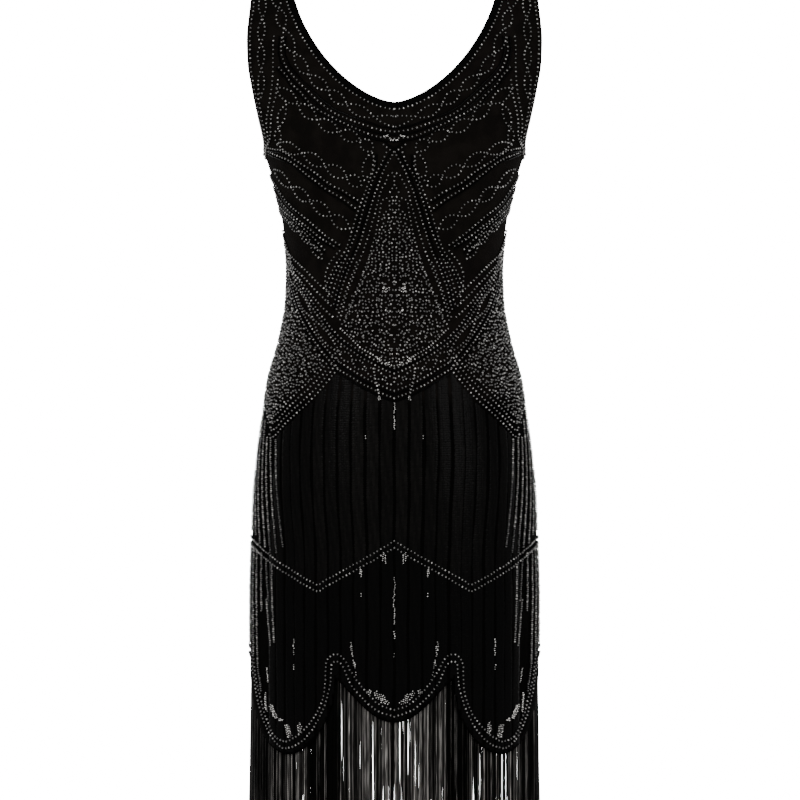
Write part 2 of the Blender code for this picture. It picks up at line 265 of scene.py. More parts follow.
@dataclass
class DressForm:
    """The outer surface of the filled-out dress and the edges of its cut."""

    shoulder_neck_x: float = 0.130
    shoulder_end_x: float = 0.168
    shoulder_drop_per_x2: float = 1.05
    rounding_power: float = 0.55
    rounding_reach: dict[Side, float] = field(default_factory=lambda: {FRONT: 0.30, BACK: 0.22})
    neck_bottom: dict[Side, float] = field(default_factory=lambda: {FRONT: -0.1914, BACK: -0.1800})
    neck_width_power: float = 1.25
    neck_height_power: float = 1.03
    underarm_height: float = -0.240
    armhole_rounding: float = 0.7
    hem_level: float = -0.866
    seam_fade: float = 16.0
    last_turn: float = 89.4
    shoulder_room: float = 0.0008
    turn_step: float = 0.05
    height_step: float = 2e-4
    path_samples: int = 400
    chart_step: float = 0.002
    stride: float = 0.003

    def __post_init__(self) -> None:
        """Fits the curves of the sections."""
        heights, widths, fronts, backs = zip(*SECTIONS)
        self.half_width = Eased(heights, widths)
        self.depth = {FRONT: Eased(heights, fronts), BACK: Eased(heights, backs)}

    def shoulder_line(self, x: Array) -> Array:
        """Height of the shoulder seam above or below its neck end."""
        return self.shoulder_drop_per_x2 * (self.shoulder_neck_x**2 - x**2)

    def out(self, at: Places) -> Array:
        """How far places are from the dress's middle, along X."""
        return self.half_width(at.heights) * np.sin(np.radians(at.turns))

    def turn_of(self, x: Array, heights: Array) -> Array:
        """The turn at which the form has a given distance from its middle."""
        return np.degrees(np.arcsin(np.minimum(x / self.half_width(heights), 1.0)))

    def smooth(self, at: Places) -> Array:
        """Points of the form before any crease.

        Args:
            at: The places.

        Returns:
            One point for each.
        """
        x = self.out(at)
        fall = np.clip((self.shoulder_line(x) - at.heights) / self.rounding_reach[at.side], 0.0, 1.0)
        rounding = (1 - (1 - fall) ** 2) ** self.rounding_power
        depth = self.depth[at.side](at.heights) * rounding * np.cos(np.radians(at.turns))
        y = at.side.value * np.maximum(depth, SEAM_GAP / 2)
        return np.stack([x, y, np.broadcast_to(at.heights, x.shape)], axis=-1)

    def relief(self, at: Places) -> Array:
        """How far the creases raise the cloth, fading out at the seams.

        Args:
            at: The places.

        Returns:
            The rise at each.
        """
        rise = np.zeros(np.broadcast(at.turns, at.heights).shape)
        for crease in CREASES:
            if crease.side is at.side:
                across = np.radians(at.turns - crease.turn) * self.half_width(np.array(crease.height))
                down = at.heights - crease.height
                lean = math.radians(crease.lean)
                beside = across * math.cos(lean) + down * math.sin(lean)
                along = down * math.cos(lean) - across * math.sin(lean)
                rise += crease.rise * np.exp(-((beside / crease.width) ** 2) - (along / crease.length) ** 2)
        share = np.clip((90.0 - np.abs(at.turns)) / self.seam_fade, 0.0, 1.0)
        return rise * share * share * (3 - 2 * share)

    def slopes(self, surface: Surface, at: Places) -> tuple[Array, Array]:
        """How a surface's points move, a little inside the seams, where it has a clear slope.

        Args:
            surface: Gives the surface's points.
            at: The places.

        Returns:
            The move for a degree of turn and the move for a metre of height.
        """
        kept = Places(at.side, np.clip(at.turns, -self.last_turn, self.last_turn), at.heights)
        kept.heights = np.minimum(at.heights, self.shoulder_line(self.out(kept)) - self.shoulder_room)
        turn, height = self.turn_step, self.height_step
        across = (surface(kept.moved(turn)) - surface(kept.moved(-turn))) / (2 * turn)
        up = (surface(kept.moved(0.0, height)) - surface(kept.moved(0.0, -height))) / (2 * height)
        return across, up

    def sideways(self, at: Places) -> Array:
        """The way round the body towards +turn, at length one."""
        return unit(self.slopes(self.smooth, at)[0])

    def facing(self, surface: Surface, at: Places) -> Array:
        """A surface's outward normals."""
        return unit(-at.side.value * np.cross(*self.slopes(surface, at)))

    def points(self, at: Places) -> Array:
        """Points of the cloth's outer face, creases and all."""
        return self.smooth(at) + self.facing(self.smooth, at) * self.relief(at)[..., None]

    def normals(self, at: Places) -> Array:
        """The cloth's outward normals, creases and all."""
        return self.facing(self.points, at)

    def neckline(self, side: Side, angle: Array) -> Places:
        """Places on the neckline.

        Args:
            side: The side it is on.
            angle: From 0 at its lowest point to 90 at the shoulder.

        Returns:
            The places.
        """
        swing = np.radians(angle)
        x = self.shoulder_neck_x * np.sin(swing) ** self.neck_width_power
        height = self.neck_bottom[side] * np.maximum(np.cos(swing), 0.0) ** self.neck_height_power
        return Places(side, self.turn_of(x, height), height)

    def armhole(self, side: Side, angle: Array) -> Places:
        """Places on the armhole's edge.

        Args:
            side: The side they are on.
            angle: From 0 at the underarm to 90 at the shoulder.

        Returns:
            The places.
        """
        swing = np.radians(angle)
        end_height = self.shoulder_line(self.shoulder_end_x)
        end_turn = self.turn_of(self.shoulder_end_x, end_height)
        height = self.underarm_height + (end_height - self.underarm_height) * (1 - np.cos(swing))
        return Places(side, 90 - (90 - end_turn) * np.sin(swing) ** self.armhole_rounding, height)

    def hem(self, side: Side, turns: Array) -> Places:
        """Places on the scalloped hem.

        Args:
            side: The side they are on.
            turns: Their turns.

        Returns:
            The places.
        """
        turns = np.asarray(turns, float)
        around = np.abs(turns)
        height = np.full(around.shape, self.hem_level)
        for scallop in SCALLOPS:
            outside = around > scallop.turn
            reach = np.where(outside, scallop.outer_reach, scallop.inner_reach)
            power = np.where(outside, scallop.outer_power, scallop.inner_power)
            share = np.minimum(np.abs(around - scallop.turn) / reach, 1.0)
            height -= scallop.depth * np.maximum(0.5 + 0.5 * np.cos(np.pi * share), 0.0) ** power
        return Places(side, turns, height)

    def middle(self, side: Side, heights: Array) -> Places:
        """Places down the middle of a side."""
        return Places(side, np.zeros_like(heights), heights)

    def seam(self, side: Side, heights: Array) -> Places:
        """Places down a side seam."""
        return Places(side, np.full_like(heights, 90.0), heights)

    def lengths(self, line: Places) -> Array:
        """Length along a line up to each of its places."""
        steps = np.linalg.norm(np.diff(self.smooth(line), axis=0), axis=1)
        return np.concatenate([[0.0], np.cumsum(steps)])

    def cut_at(self, line: Places, wanted: Array) -> Places:
        """The places at given lengths along a line."""
        known = self.lengths(line)
        return Places(line.side, *(np.interp(wanted, known, v) for v in (line.turns, line.heights)))

    def evenly(self, side: Side, edge: Edge, start: float, end: float, count: int) -> Places:
        """Places along an edge at equal lengths, from one of its values to another."""
        line = edge(side, np.linspace(start, end, self.path_samples))
        return self.cut_at(line, np.linspace(0.0, self.lengths(line)[-1], count + 1))

    def resampled(self, line: Places, pitch: float) -> Places:
        """A line's places at one even pitch.

        Args:
            line: The line.
            pitch: Distance between places.

        Returns:
            The line through the new places.
        """
        whole = self.lengths(line)[-1]
        count = max(int(whole / pitch), 1)
        return self.cut_at(line, whole * np.arange(count + 1) / count)

    def drawn(self, side: Side, knots: Knots) -> tuple[Places, Places]:
        """A smooth line through a chart's knots.

        Args:
            side: The side it is drawn on.
            knots: Turn and height of each knot, in order.

        Returns:
            The line, and the knots by themselves.
        """
        turns, heights = (np.array(column, float) for column in zip(*knots))
        ends = Places(side, turns, heights)
        along = self.lengths(ends)
        fine = np.linspace(0.0, along[-1], max(int(along[-1] / self.chart_step), 2) + 1)
        return Places(side, Eased(along, turns)(fine), Eased(along, heights)(fine)), ends

    def offset(self, line: Places, distance: float | Array) -> Places:
        """Moves a line sideways over the cloth, upwards where the line runs towards +turn.

        Args:
            line: The line.
            distance: How far, one value or one for each place.

        Returns:
            The moved line.
        """
        distance = np.broadcast_to(np.asarray(distance, float), line.turns.shape)
        moves = max(int(math.ceil(np.abs(distance).max() / self.stride)), 1)
        for _ in range(moves):
            across, up = self.slopes(self.smooth, line)
            along = np.gradient(self.smooth(line), axis=0)
            beside = unit(-line.side.value * np.cross(self.facing(self.smooth, line), along))
            step = beside * (distance / moves)[:, None]
            aa, ab, bb = (across * across).sum(1), (across * up).sum(1), (up * up).sum(1)
            sa, sb = (step * across).sum(1), (step * up).sum(1)
            spread = aa * bb - ab * ab
            line = line.moved((sa * bb - sb * ab) / spread, (sb * aa - sa * ab) / spread)
        return line


# ------------------------------------------------------------------------------------- node trees


class Nodes:
    """A node tree under construction, with short calls to add nodes and feed them."""

    def __init__(self, tree: bpy.types.NodeTree) -> None:
        """Keeps the tree and empties it."""
        self.tree = tree
        tree.nodes.clear()

    def feed(self, entry: Socket, value: object) -> None:
        """Joins an output to an input, or gives the input a fixed value.

        Args:
            entry: The input.
            value: The output or the value.
        """
        if isinstance(value, Socket):
            self.tree.links.new(value, entry)
        else:
            entry.default_value = value

    def add(self, kind: str, inputs: dict | None = None, **settings: object) -> bpy.types.Node:
        """Adds a node.

        Args:
            kind: The node's type.
            inputs: What feeds its inputs, by name or number.
            settings: Its properties.

        Returns:
            The node.
        """
        node = self.tree.nodes.new(kind)
        for name, value in settings.items():
            setattr(node, name, value)
        for name, value in (inputs or {}).items():
            self.feed(node.inputs[name], value)
        return node

    def number(self, operation: str, *values: Socket | float) -> Socket:
        """The result of a sum, product or other step on numbers."""
        return self.add("ShaderNodeMath", dict(enumerate(values)), operation=operation).outputs[0]

    def apart(self, vector: Socket) -> bpy.types.bpy_prop_collection:
        """A vector's X, Y and Z."""
        return self.add("ShaderNodeSeparateXYZ", {"Vector": vector}).outputs

    def here(self) -> Socket:
        """The place on the piece, in its own axes."""
        return self.add("ShaderNodeTexCoord").outputs["Object"]

    def noise(self, vector: Socket, scale: float, detail: float) -> Socket:
        """Soft noise from 0 to 1."""
        entries = {"Vector": vector, "Scale": scale, "Detail": detail}
        return self.add("ShaderNodeTexNoise", entries).outputs["Fac"]

    def glint(self) -> Socket:
        """How light each sewn-on part's colour is, from 0 to 1: painted light, with some tone that differs
        at random.
        """
        return self.add("ShaderNodeAttribute", attribute_name="glint").outputs["Fac"]

    def ramp(self, value: Socket, low: float, high: float, start: float, end: float) -> Socket:
        """Carries a number smoothly from the range low to high over to the range start to end."""
        entries = {"Value": value, "From Min": low, "From Max": high, "To Min": start, "To Max": end}
        return self.add("ShaderNodeMapRange", entries, interpolation_type="SMOOTHSTEP").outputs["Result"]

    def relief(self, shader: bpy.types.Node, height: Socket, depth: float) -> None:
        """Gives a shader a fine relief of a given depth."""
        bump = self.add("ShaderNodeBump", {"Strength": 1.0, "Distance": depth, "Height": height})
        self.feed(shader.inputs["Normal"], bump.outputs["Normal"])


@dataclass(frozen=True)
class Finish:
    """What every finish has: a name, a dark and a light colour, and its gloss."""

    name: str
    dark: Colour
    light: Colour
    roughness: float
    specular: float
    metallic: float = 0.0

    def begun(self) -> tuple[bpy.types.Material, Nodes, bpy.types.Node]:
        """Starts the material with the finish's fixed values.

        Returns:
            The material, its nodes and its shader.
        """
        material = bpy.data.materials.new(self.name)
        material.use_nodes = True
        nodes = Nodes(material.node_tree)
        gloss = {"Roughness": self.roughness, "Metallic": self.metallic, "Specular IOR Level": self.specular}
        shader = nodes.add("ShaderNodeBsdfPrincipled", gloss)
        nodes.add("ShaderNodeOutputMaterial", {"Surface": shader.outputs["BSDF"]})
        return material, nodes, shader

    def coloured(self, nodes: Nodes, shader: bpy.types.Node, share: Socket) -> None:
        """Mixes the two colours.

        Args:
            nodes: The material's nodes.
            shader: Its shader.
            share: How much of the light colour.
        """
        entries = {"Factor": share, "A": (*self.dark, 1.0), "B": (*self.light, 1.0)}
        mix = nodes.add("ShaderNodeMix", entries, data_type="RGBA")
        nodes.feed(shader.inputs["Base Color"], mix.outputs["Result"])


@dataclass(frozen=True)
class WovenFinish(Finish):
    """Fine cloth: crossing threads that follow the piece's own UV map, in metres."""

    thread: float = 0.0006
    depth: float = 0.00008
    mottle: float = 0.02
    rougher: float = 0.1
    # Where the painted shade under the sequin bands starts on the UV map's height, and how soft its edge is.
    shaded_below: float = -0.53
    shade_edge: float = 0.02

    def material(self) -> bpy.types.Material:
        """Makes the cloth's material, with painted shade that takes it to its dark colour under the sequin
        bands.

        Returns:
            The material.
        """
        material, nodes, shader = self.begun()
        apart = nodes.apart(nodes.add("ShaderNodeUVMap", uv_map="UVMap").outputs["UV"])
        waves = []
        for axis in ("X", "Y"):
            turns = nodes.number("MULTIPLY", apart[axis], math.pi / self.thread)
            waves.append(nodes.number("ABSOLUTE", nodes.number("SINE", turns)))
        weave = nodes.number("MAXIMUM", *waves)
        noise = nodes.noise(nodes.here(), 1.0 / self.mottle, 3.0)
        cloud = nodes.ramp(noise, 0.35, 0.65, 0.55, 1.0)
        # Painted shade: below shaded_below, where the sequin bands hang over it, the net gets its dark
        # colour.
        outside_painted_shade = nodes.ramp(apart["Y"], self.shaded_below - self.shade_edge, self.shaded_below, 0.0, 1.0)
        share = nodes.number("MULTIPLY", nodes.number("POWER", weave, 2.0), cloud)
        self.coloured(nodes, shader, nodes.number("MULTIPLY", share, outside_painted_shade))
        rough = nodes.ramp(noise, 0.3, 0.7, self.roughness, self.roughness + self.rougher)
        nodes.feed(shader.inputs["Roughness"], rough)
        nodes.relief(shader, weave, self.depth)
        return material


@dataclass(frozen=True)
class ThreadFinish(Finish):
    """Twisted thread that hangs: a slanting ply along the piece's height."""

    ply: float = 0.0022
    depth: float = 0.00012
    # Size of the patches of painted light along the threads.
    streak: float = 900.0
    streak_stretch: float = 0.04

    def material(self) -> bpy.types.Material:
        """Makes the thread's material, with painted light: the glint attribute lightens threads as if they
        caught the light, in patches along their length.

        Returns:
            The material.
        """
        material, nodes, shader = self.begun()
        apart = nodes.apart(nodes.here())
        slant = nodes.number("ADD", apart["Z"], apart["X"])
        twist = nodes.number("SINE", nodes.number("MULTIPLY", slant, math.tau / self.ply))
        ply = nodes.ramp(twist, -1.0, 1.0, 0.55, 1.0)
        scales = (("X", self.streak), ("Y", self.streak), ("Z", self.streak_stretch * self.streak))
        scaled = {axis: nodes.number("MULTIPLY", apart[axis], scale) for axis, scale in scales}
        streak = nodes.add("ShaderNodeCombineXYZ", scaled).outputs["Vector"]
        patchy_painted_light = nodes.ramp(nodes.noise(streak, 1.0, 2.0), 0.35, 0.65, 0.15, 1.0)
        # Painted light: a thread's glint gives it a lighter colour, patchy along its length.
        share = nodes.number("MULTIPLY", nodes.number("MULTIPLY", nodes.glint(), ply), patchy_painted_light)
        self.coloured(nodes, shader, share)
        nodes.relief(shader, ply, self.depth)
        return material


@dataclass(frozen=True)
class BeadFinish(Finish):
    """Glass beads, each a little lighter or darker than the next by its own glint: painted highlights and
    sheen, with some tone that differs at random.
    """

    grain: float = 900.0
    rough_spread: tuple[float, float] = (0.7, 1.4)

    def material(self) -> bpy.types.Material:
        """Makes the beads' material.

        Returns:
            The material.
        """
        material, nodes, shader = self.begun()
        # Painted light: the glint attribute sets how light each bead's colour is.
        self.coloured(nodes, shader, nodes.glint())
        noise = nodes.noise(nodes.here(), self.grain, 1.0)
        least, most = (self.roughness * share for share in self.rough_spread)
        rough = nodes.ramp(noise, 0.3, 0.7, least, most)
        nodes.feed(shader.inputs["Roughness"], rough)
        return material


FINISHES = {
    Slot.NET: WovenFinish("black_net", (0.0009, 0.0008, 0.0007), (0.0068, 0.0056, 0.0048), 0.80, 0.01),
    Slot.SATIN: WovenFinish(
        "black_satin", (0.0008, 0.0008, 0.0008), (0.0014, 0.0013, 0.0012), 0.55, 0.012, thread=0.0004
    ),
    # Painted light: each part's glint mixes in the light colours of the fringe and the beads where they
    # should look lit, with some tone that differs at random.
    Slot.FRINGE: ThreadFinish("black_thread", (0.0005, 0.0005, 0.0004), (0.40, 0.38, 0.36), 0.50, 0.02),
    Slot.SILVER: BeadFinish("silver_lined_glass", (0.02, 0.02, 0.02), (0.82, 0.80, 0.77), 0.22, 0.5, 0.9),
    Slot.BLACK: BeadFinish("black_glass", (0.0004, 0.0004, 0.0004), (0.0056, 0.0051, 0.0047), 0.22, 0.025),
}


# ------------------------------------------------------------------------------------------ meshes


def quads(index: Array) -> Array:
    """The quads between the rows and columns of a grid of point numbers."""
    corners = (index[:-1, :-1], index[:-1, 1:], index[1:, 1:], index[1:, :-1])
    return np.stack([corner.ravel() for corner in corners], axis=1)


def numbered(*shape: int) -> Array:
    """A grid of point numbers, from 0."""
    return np.arange(math.prod(shape)).reshape(shape)


def tube(rings: int, corners: int, flipped: bool) -> list[list[int]]:
    """The faces of a closed tube.

    Args:
        rings: How many rings of points it has.
        corners: How many points a ring has.
        flipped: Whether the rings run the other way round.

    Returns:
        The faces, ends and all.
    """
    index = numbered(rings, corners)
    sides = quads(np.concatenate([index, index[:, :1]], axis=1))
    faces = sides.tolist() + [index[0][::-1].tolist(), index[-1].tolist()]
    return [face[::-1] for face in faces] if flipped else faces


def new_object(name: str, mesh: bpy.types.Mesh) -> Object:
    """Puts a mesh into the scene.

    Args:
        name: The object's name.
        mesh: Its mesh.

    Returns:
        The object, at the origin.
    """
    made = bpy.data.objects.new(name, mesh)
    bpy.context.scene.collection.objects.link(made)
    return made


def mapped(name: str, points: Array, faces: list[list[int]], places: Array) -> Object:
    """A smooth piece with a UV map.

    Args:
        name: Its name.
        points: Its points.
        faces: Its faces.
        places: The UV place of each point, in metres.

    Returns:
        The piece.
    """
    mesh = bpy.data.meshes.new(name)
    mesh.from_pydata(points.reshape(-1, 3).tolist(), [], faces)
    layer = mesh.uv_layers.new(name="UVMap")
    corners = np.empty(len(mesh.loops), dtype=np.int32)
    mesh.loops.foreach_get("vertex_index", corners)
    layer.data.foreach_set("uv", places[corners].astype(np.float32).ravel())
    mesh.shade_smooth()
    mesh.update()
    return new_object(name, mesh)


def shell(name: str, outer: Array, inner: Array, faces: Array, places: Array) -> Object:
    """A closed cloth shell between an outer and an inner sheet.

    Args:
        name: The piece's name.
        outer: Points of the outer sheet.
        inner: The point of the inner sheet behind each.
        faces: The outer sheet's quads, facing outwards.
        places: The UV place of each point, in metres.

    Returns:
        The piece.
    """
    count = outer.size // 3
    edges = np.concatenate([np.stack([faces[:, k], faces[:, (k + 1) % 4]], 1) for k in range(4)])
    known = {(int(a), int(b)) for a, b in edges}
    rims = sorted((b, a, a + count, b + count) for a, b in known if (b, a) not in known)
    everything = np.concatenate([faces, faces[:, ::-1] + count, np.array(rims)])
    return mapped(name, np.concatenate([outer, inner]), everything.tolist(), np.tile(places, (2, 1)))


def finished(piece: Object, slot: Slot, *nodes: str) -> Object:
    """Hands a piece to the frame.

    Args:
        piece: The piece.
        slot: The record's slot that its finish comes from.
        nodes: The solids that it stands for.

    Returns:
        The piece.
    """
    if not piece.data.materials:
        piece.data.materials.append(MATERIALS[slot])
    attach(piece, BODY)
    if nodes:
        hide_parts(*nodes)
    piece.data.calc_loop_triangles()
    LOG.info("%s: %d triangles", piece.name, len(piece.data.loop_triangles))
    return piece


@dataclass(frozen=True)
class SewingTree:
    """The geometry nodes that sew a small part on at every point of a plan."""

    name: str = "sewn_on"
    entries: tuple[tuple[str, str], ...] = (
        ("Plan", "Geometry"), ("Part", "Object"), ("Finish", "Material"),
        ("Smallest", "Float"), ("Largest", "Float"), ("Seed", "Int"),
    )

    def build(self) -> bpy.types.NodeTree:
        """Builds the tree.

        Returns:
            The tree, with named inputs for the part, its finish, its spread of sizes and the seed.
        """
        tree = bpy.data.node_groups.new(self.name, "GeometryNodeTree")
        for name, kind in self.entries:
            tree.interface.new_socket(name, in_out="INPUT", socket_type=f"NodeSocket{kind}")
        tree.interface.new_socket("Sewn", in_out="OUTPUT", socket_type="NodeSocketGeometry")
        nodes = Nodes(tree)
        entry = nodes.add("NodeGroupInput").outputs
        part = nodes.add("GeometryNodeObjectInfo", {"Object": entry["Part"]}, transform_space="ORIGINAL")
        facing, size = (
            nodes.add("GeometryNodeInputNamedAttribute", {"Name": name}, data_type="FLOAT_VECTOR")
            for name in ("facing", "size")
        )
        turned = nodes.add("FunctionNodeEulerToRotation", {"Euler": facing.outputs["Attribute"]})
        limits = {"Min": entry["Smallest"], "Max": entry["Largest"], "Seed": entry["Seed"]}
        spread = nodes.add("FunctionNodeRandomValue", limits, data_type="FLOAT").outputs["Value"]
        factors = {0: size.outputs["Attribute"], "Scale": spread}
        scale = nodes.add("ShaderNodeVectorMath", factors, operation="SCALE")
        places = {"Points": entry["Plan"], "Instance": part.outputs["Geometry"]}
        places |= {"Rotation": turned.outputs["Rotation"], "Scale": scale.outputs["Vector"]}
        sewn = nodes.add("GeometryNodeInstanceOnPoints", places)
        real = nodes.add("GeometryNodeRealizeInstances", {"Geometry": sewn.outputs["Instances"]})
        dressed = {"Geometry": real.outputs["Geometry"], "Material": entry["Finish"]}
        done = nodes.add("GeometryNodeSetMaterial", dressed).outputs["Geometry"]
        nodes.add("NodeGroupOutput", {"Sewn": done})
        return tree


@dataclass
class Plan:
    """Places where small parts are sewn on, gathered line by line."""

    rows: list[tuple[Array, ...]] = field(default_factory=list)

    def put(self, points: Array, along: Array, up: Array, size: float | Array, glint: Array) -> None:
        """Adds places.

        Args:
            points: Where the parts go.
            along: The parts' X axes.
            up: Their Z axes.
            size: Their scale, one value or one for each axis.
            glint: How light each is, from 0 to 1.
        """
        beside = np.cross(up, along)
        around_x = np.arctan2(beside[:, 2], up[:, 2])
        around_y = np.arcsin(np.clip(-along[:, 2], -1.0, 1.0))
        around_z = np.arctan2(along[:, 1], along[:, 0])
        facing = np.stack([around_x, around_y, around_z], axis=1)
        self.rows.append((points, facing, np.broadcast_to(size, points.shape), glint))

    def sewn(
        self, name: str, part: Object, slot: Slot, spread: tuple[float, float], seed: int
    ) -> Object:
        """Sews a part on at every place and makes the result a plain mesh.

        Args:
            name: The piece's name.
            part: The part.
            slot: Its finish.
            spread: Smallest and largest share of its size.
            seed: Seed of the spread.

        Returns:
            The piece, at the origin.
        """
        points, *values = (np.concatenate(column) for column in zip(*self.rows))
        mesh = bpy.data.meshes.new(name + "_plan")
        mesh.from_pydata(points.tolist(), [], [])
        for label, column in zip(("facing", "size", "glint"), values):
            kind, entry = ("FLOAT_VECTOR", "vector") if column.ndim > 1 else ("FLOAT", "value")
            layer = mesh.attributes.new(label, kind, "POINT")
            layer.data.foreach_set(entry, column.astype(np.float32).ravel())
        plan = new_object(name + "_plan", mesh)
        modifier = plan.modifiers.new("Sewing", "NODES")
        modifier.node_group = SEWING
        given = {"Part": part, "Finish": MATERIALS[slot], "Seed": seed}
        given["Smallest"], given["Largest"] = spread
        for item in SEWING.interface.items_tree:
            if item.name in given:
                modifier[item.identifier] = given[item.name]
        graph = bpy.context.evaluated_depsgraph_get()
        graph.update()
        made = bpy.data.meshes.new_from_object(plan.evaluated_get(graph))
        made.name = name
        for leftover in ("facing", "size"):
            if leftover in made.attributes:
                made.attributes.remove(made.attributes[leftover])
        bpy.data.objects.remove(plan, do_unlink=True)
        bpy.data.meshes.remove(mesh)
        return new_object(name, made)


def laid_out(across: Array, along: Array) -> Array:
    """UV places for a grid's points, from the distance of each column and of each row."""
    return np.stack([line.ravel() for line in np.meshgrid(across, along)], axis=1)


def example(name: str, points: Array, faces: list) -> Object:
    """A small part that is only there to be sewn on.

    Args:
        name: Its name.
        points: Its points.
        faces: Its faces.

    Returns:
        The part, which stays out of the scene.
    """
    mesh = bpy.data.meshes.new(name)
    mesh.from_pydata(points.reshape(-1, 3).tolist(), [], faces)
    return bpy.data.objects.new(name, mesh)


# ------------------------------------------------------------------------------------------- cloth


def patch(bottom: Array, top: Array, left: Array, right: Array) -> Array:
    """A grid of values spread evenly between four edges.

    Args:
        bottom: Values along the first row.
        top: Values along the last row.
        left: Values up the first column.
        right: Values up the last column.

    Returns:
        The values by row and column.
    """
    u = np.linspace(0.0, 1.0, len(bottom))[None, :]
    v = np.linspace(0.0, 1.0, len(left))[:, None]
    grid = (1 - v) * bottom + v * top + (1 - u) * left[:, None] + u * right[:, None]
    grid -= (1 - v) * ((1 - u) * bottom[0] + u * bottom[-1])
    grid -= v * ((1 - u) * top[0] + u * top[-1])
    return grid


@dataclass
class NetPanel:
    """The front or the back of the dress, cut in one from shoulder to hem."""

    form: DressForm
    side: Side
    wall: float = 0.0009
    neck_columns: int = 40
    strap_columns: int = 18
    side_rows: int = 84
    armhole_rows: int = 26
    strap_rows: int = 26
    strap_passes: int = 4
    neck_strap_angle: float = 45.0
    armhole_strap_angle: float = 58.0
    centre_break: float = -0.300
    uv_radius: float = 0.150
    girth_levels: tuple[float, float, float] = (-0.84, -0.28, 0.02)
    girth_places: int = 181
    length_places: int = 300

    def run(self, edge: Edge, start: float, end: float, count: int) -> Places:
        """Places along one of the panel's edges at equal lengths."""
        return self.form.evenly(self.side, edge, start, end, count)

    def strap(self) -> Places:
        """Rows of places across the right strap, from its foot to the shoulder.

        Returns:
            The places by row.
        """
        form = self.form
        edges = (
            self.run(form.neckline, self.neck_strap_angle, 90, self.strap_rows),
            self.run(form.armhole, self.armhole_strap_angle, 90, self.strap_rows),
        )
        share = np.linspace(0.0, 1.0, self.strap_columns + 1)[None, :]
        turns, heights, fall = (
            start[:, None] * (1 - share) + end[:, None] * share
            for start, end in (
                [edge.turns for edge in edges],
                [edge.heights for edge in edges],
                [form.shoulder_line(form.out(edge)) - edge.heights for edge in edges],
            )
        )
        for _ in range(self.strap_passes):
            heights = form.shoulder_line(form.out(Places(self.side, turns, heights))) - fall
        return Places(self.side, turns, heights)

    def body(self, foot: Places) -> Places:
        """Rows of places on the right half from the hem to the neckline and the strap's foot.

        Args:
            foot: The strap's lowest row.

        Returns:
            The places by row.
        """
        form, neck = self.form, self.form.neck_bottom[self.side]
        bottom = self.run(form.hem, 0, 90, self.neck_columns + self.strap_columns)
        top = self.run(form.neckline, 0, self.neck_strap_angle, self.neck_columns).then(foot)
        low = self.run(form.middle, float(bottom.heights[0]), self.centre_break, self.side_rows)
        middle = low.then(self.run(form.middle, self.centre_break, neck, self.armhole_rows))
        seam = self.run(form.seam, float(bottom.heights[-1]), form.underarm_height, self.side_rows)
        outer = seam.then(self.run(form.armhole, 0, self.armhole_strap_angle, self.armhole_rows))
        rims = (bottom, top, middle, outer)
        turns = patch(*(rim.turns for rim in rims))
        return Places(self.side, turns, patch(*(rim.heights for rim in rims)))

    def grid(self) -> tuple[Places, Array]:
        """The whole panel's places and quads.

        Returns:
            The places, and the quads, which face outwards.
        """
        strap = self.strap()
        half, upper = self.body(strap[0]), strap[1:]
        turns = np.concatenate([-half.turns[:, :0:-1], half.turns], axis=1)
        heights = np.concatenate([half.heights[:, :0:-1], half.heights], axis=1)
        index, middle = numbered(*turns.shape), turns.shape[1] // 2
        extra = index.size + numbered(*upper.turns.shape)
        right = np.concatenate([index[-1:, middle + self.neck_columns :], extra])
        left = np.concatenate([index[-1:, middle - self.neck_columns :: -1], extra + extra.size])
        faces = np.concatenate([quads(block) for block in (index, right, left[:, ::-1])])
        turns = np.concatenate([part.ravel() for part in (turns, upper.turns, -upper.turns)])
        heights = np.concatenate([part.ravel() for part in (heights, upper.heights, upper.heights)])
        return Places(self.side, turns, heights), faces if self.side is FRONT else faces[:, ::-1]

    def build(self) -> Object:
        """Builds the panel's shell.

        Returns:
            The piece.
        """
        at, faces = self.grid()
        points, normals = self.form.points(at), self.form.normals(at)
        normals[np.abs(points[:, 1]) < SEAM_GAP, 1] = 0.0
        places = np.stack([np.radians(at.turns) * self.uv_radius, at.heights], axis=1)
        label = self.side.label
        piece = shell(f"net_{label}", points, points - unit(normals) * self.wall, faces, places)
        return finished(piece, Slot.NET, f"{label}_panel")

    def cut(self) -> tuple[float, float, float]:
        """The size of the flat piece of net that the panel takes.

        Returns:
            Its width, its length and its area.
        """
        form, side = self.form, self.side
        at, faces = self.grid()
        a, b, c, d = (form.smooth(at)[faces[:, k]] for k in range(4))
        area = 0.5 * np.linalg.norm(np.cross(c - a, d - b), axis=1).sum()
        across = np.linspace(-90, 90, self.girth_places)
        girths = (
            form.lengths(Places(side, across, np.full_like(across, height)))[-1]
            for height in np.arange(*self.girth_levels)
        )
        lowest, shoulder = SCALLOPS[-1].turn, form.neckline(side, 90.0)
        top, bottom = float(shoulder.heights), float(form.hem(side, lowest).heights)
        heights = np.linspace(top, bottom, self.length_places)
        turns = np.interp(heights, [self.centre_break, top], [lowest, float(shoulder.turns)])
        return float(max(girths)), float(form.lengths(Places(side, turns, heights))[-1]), float(area)


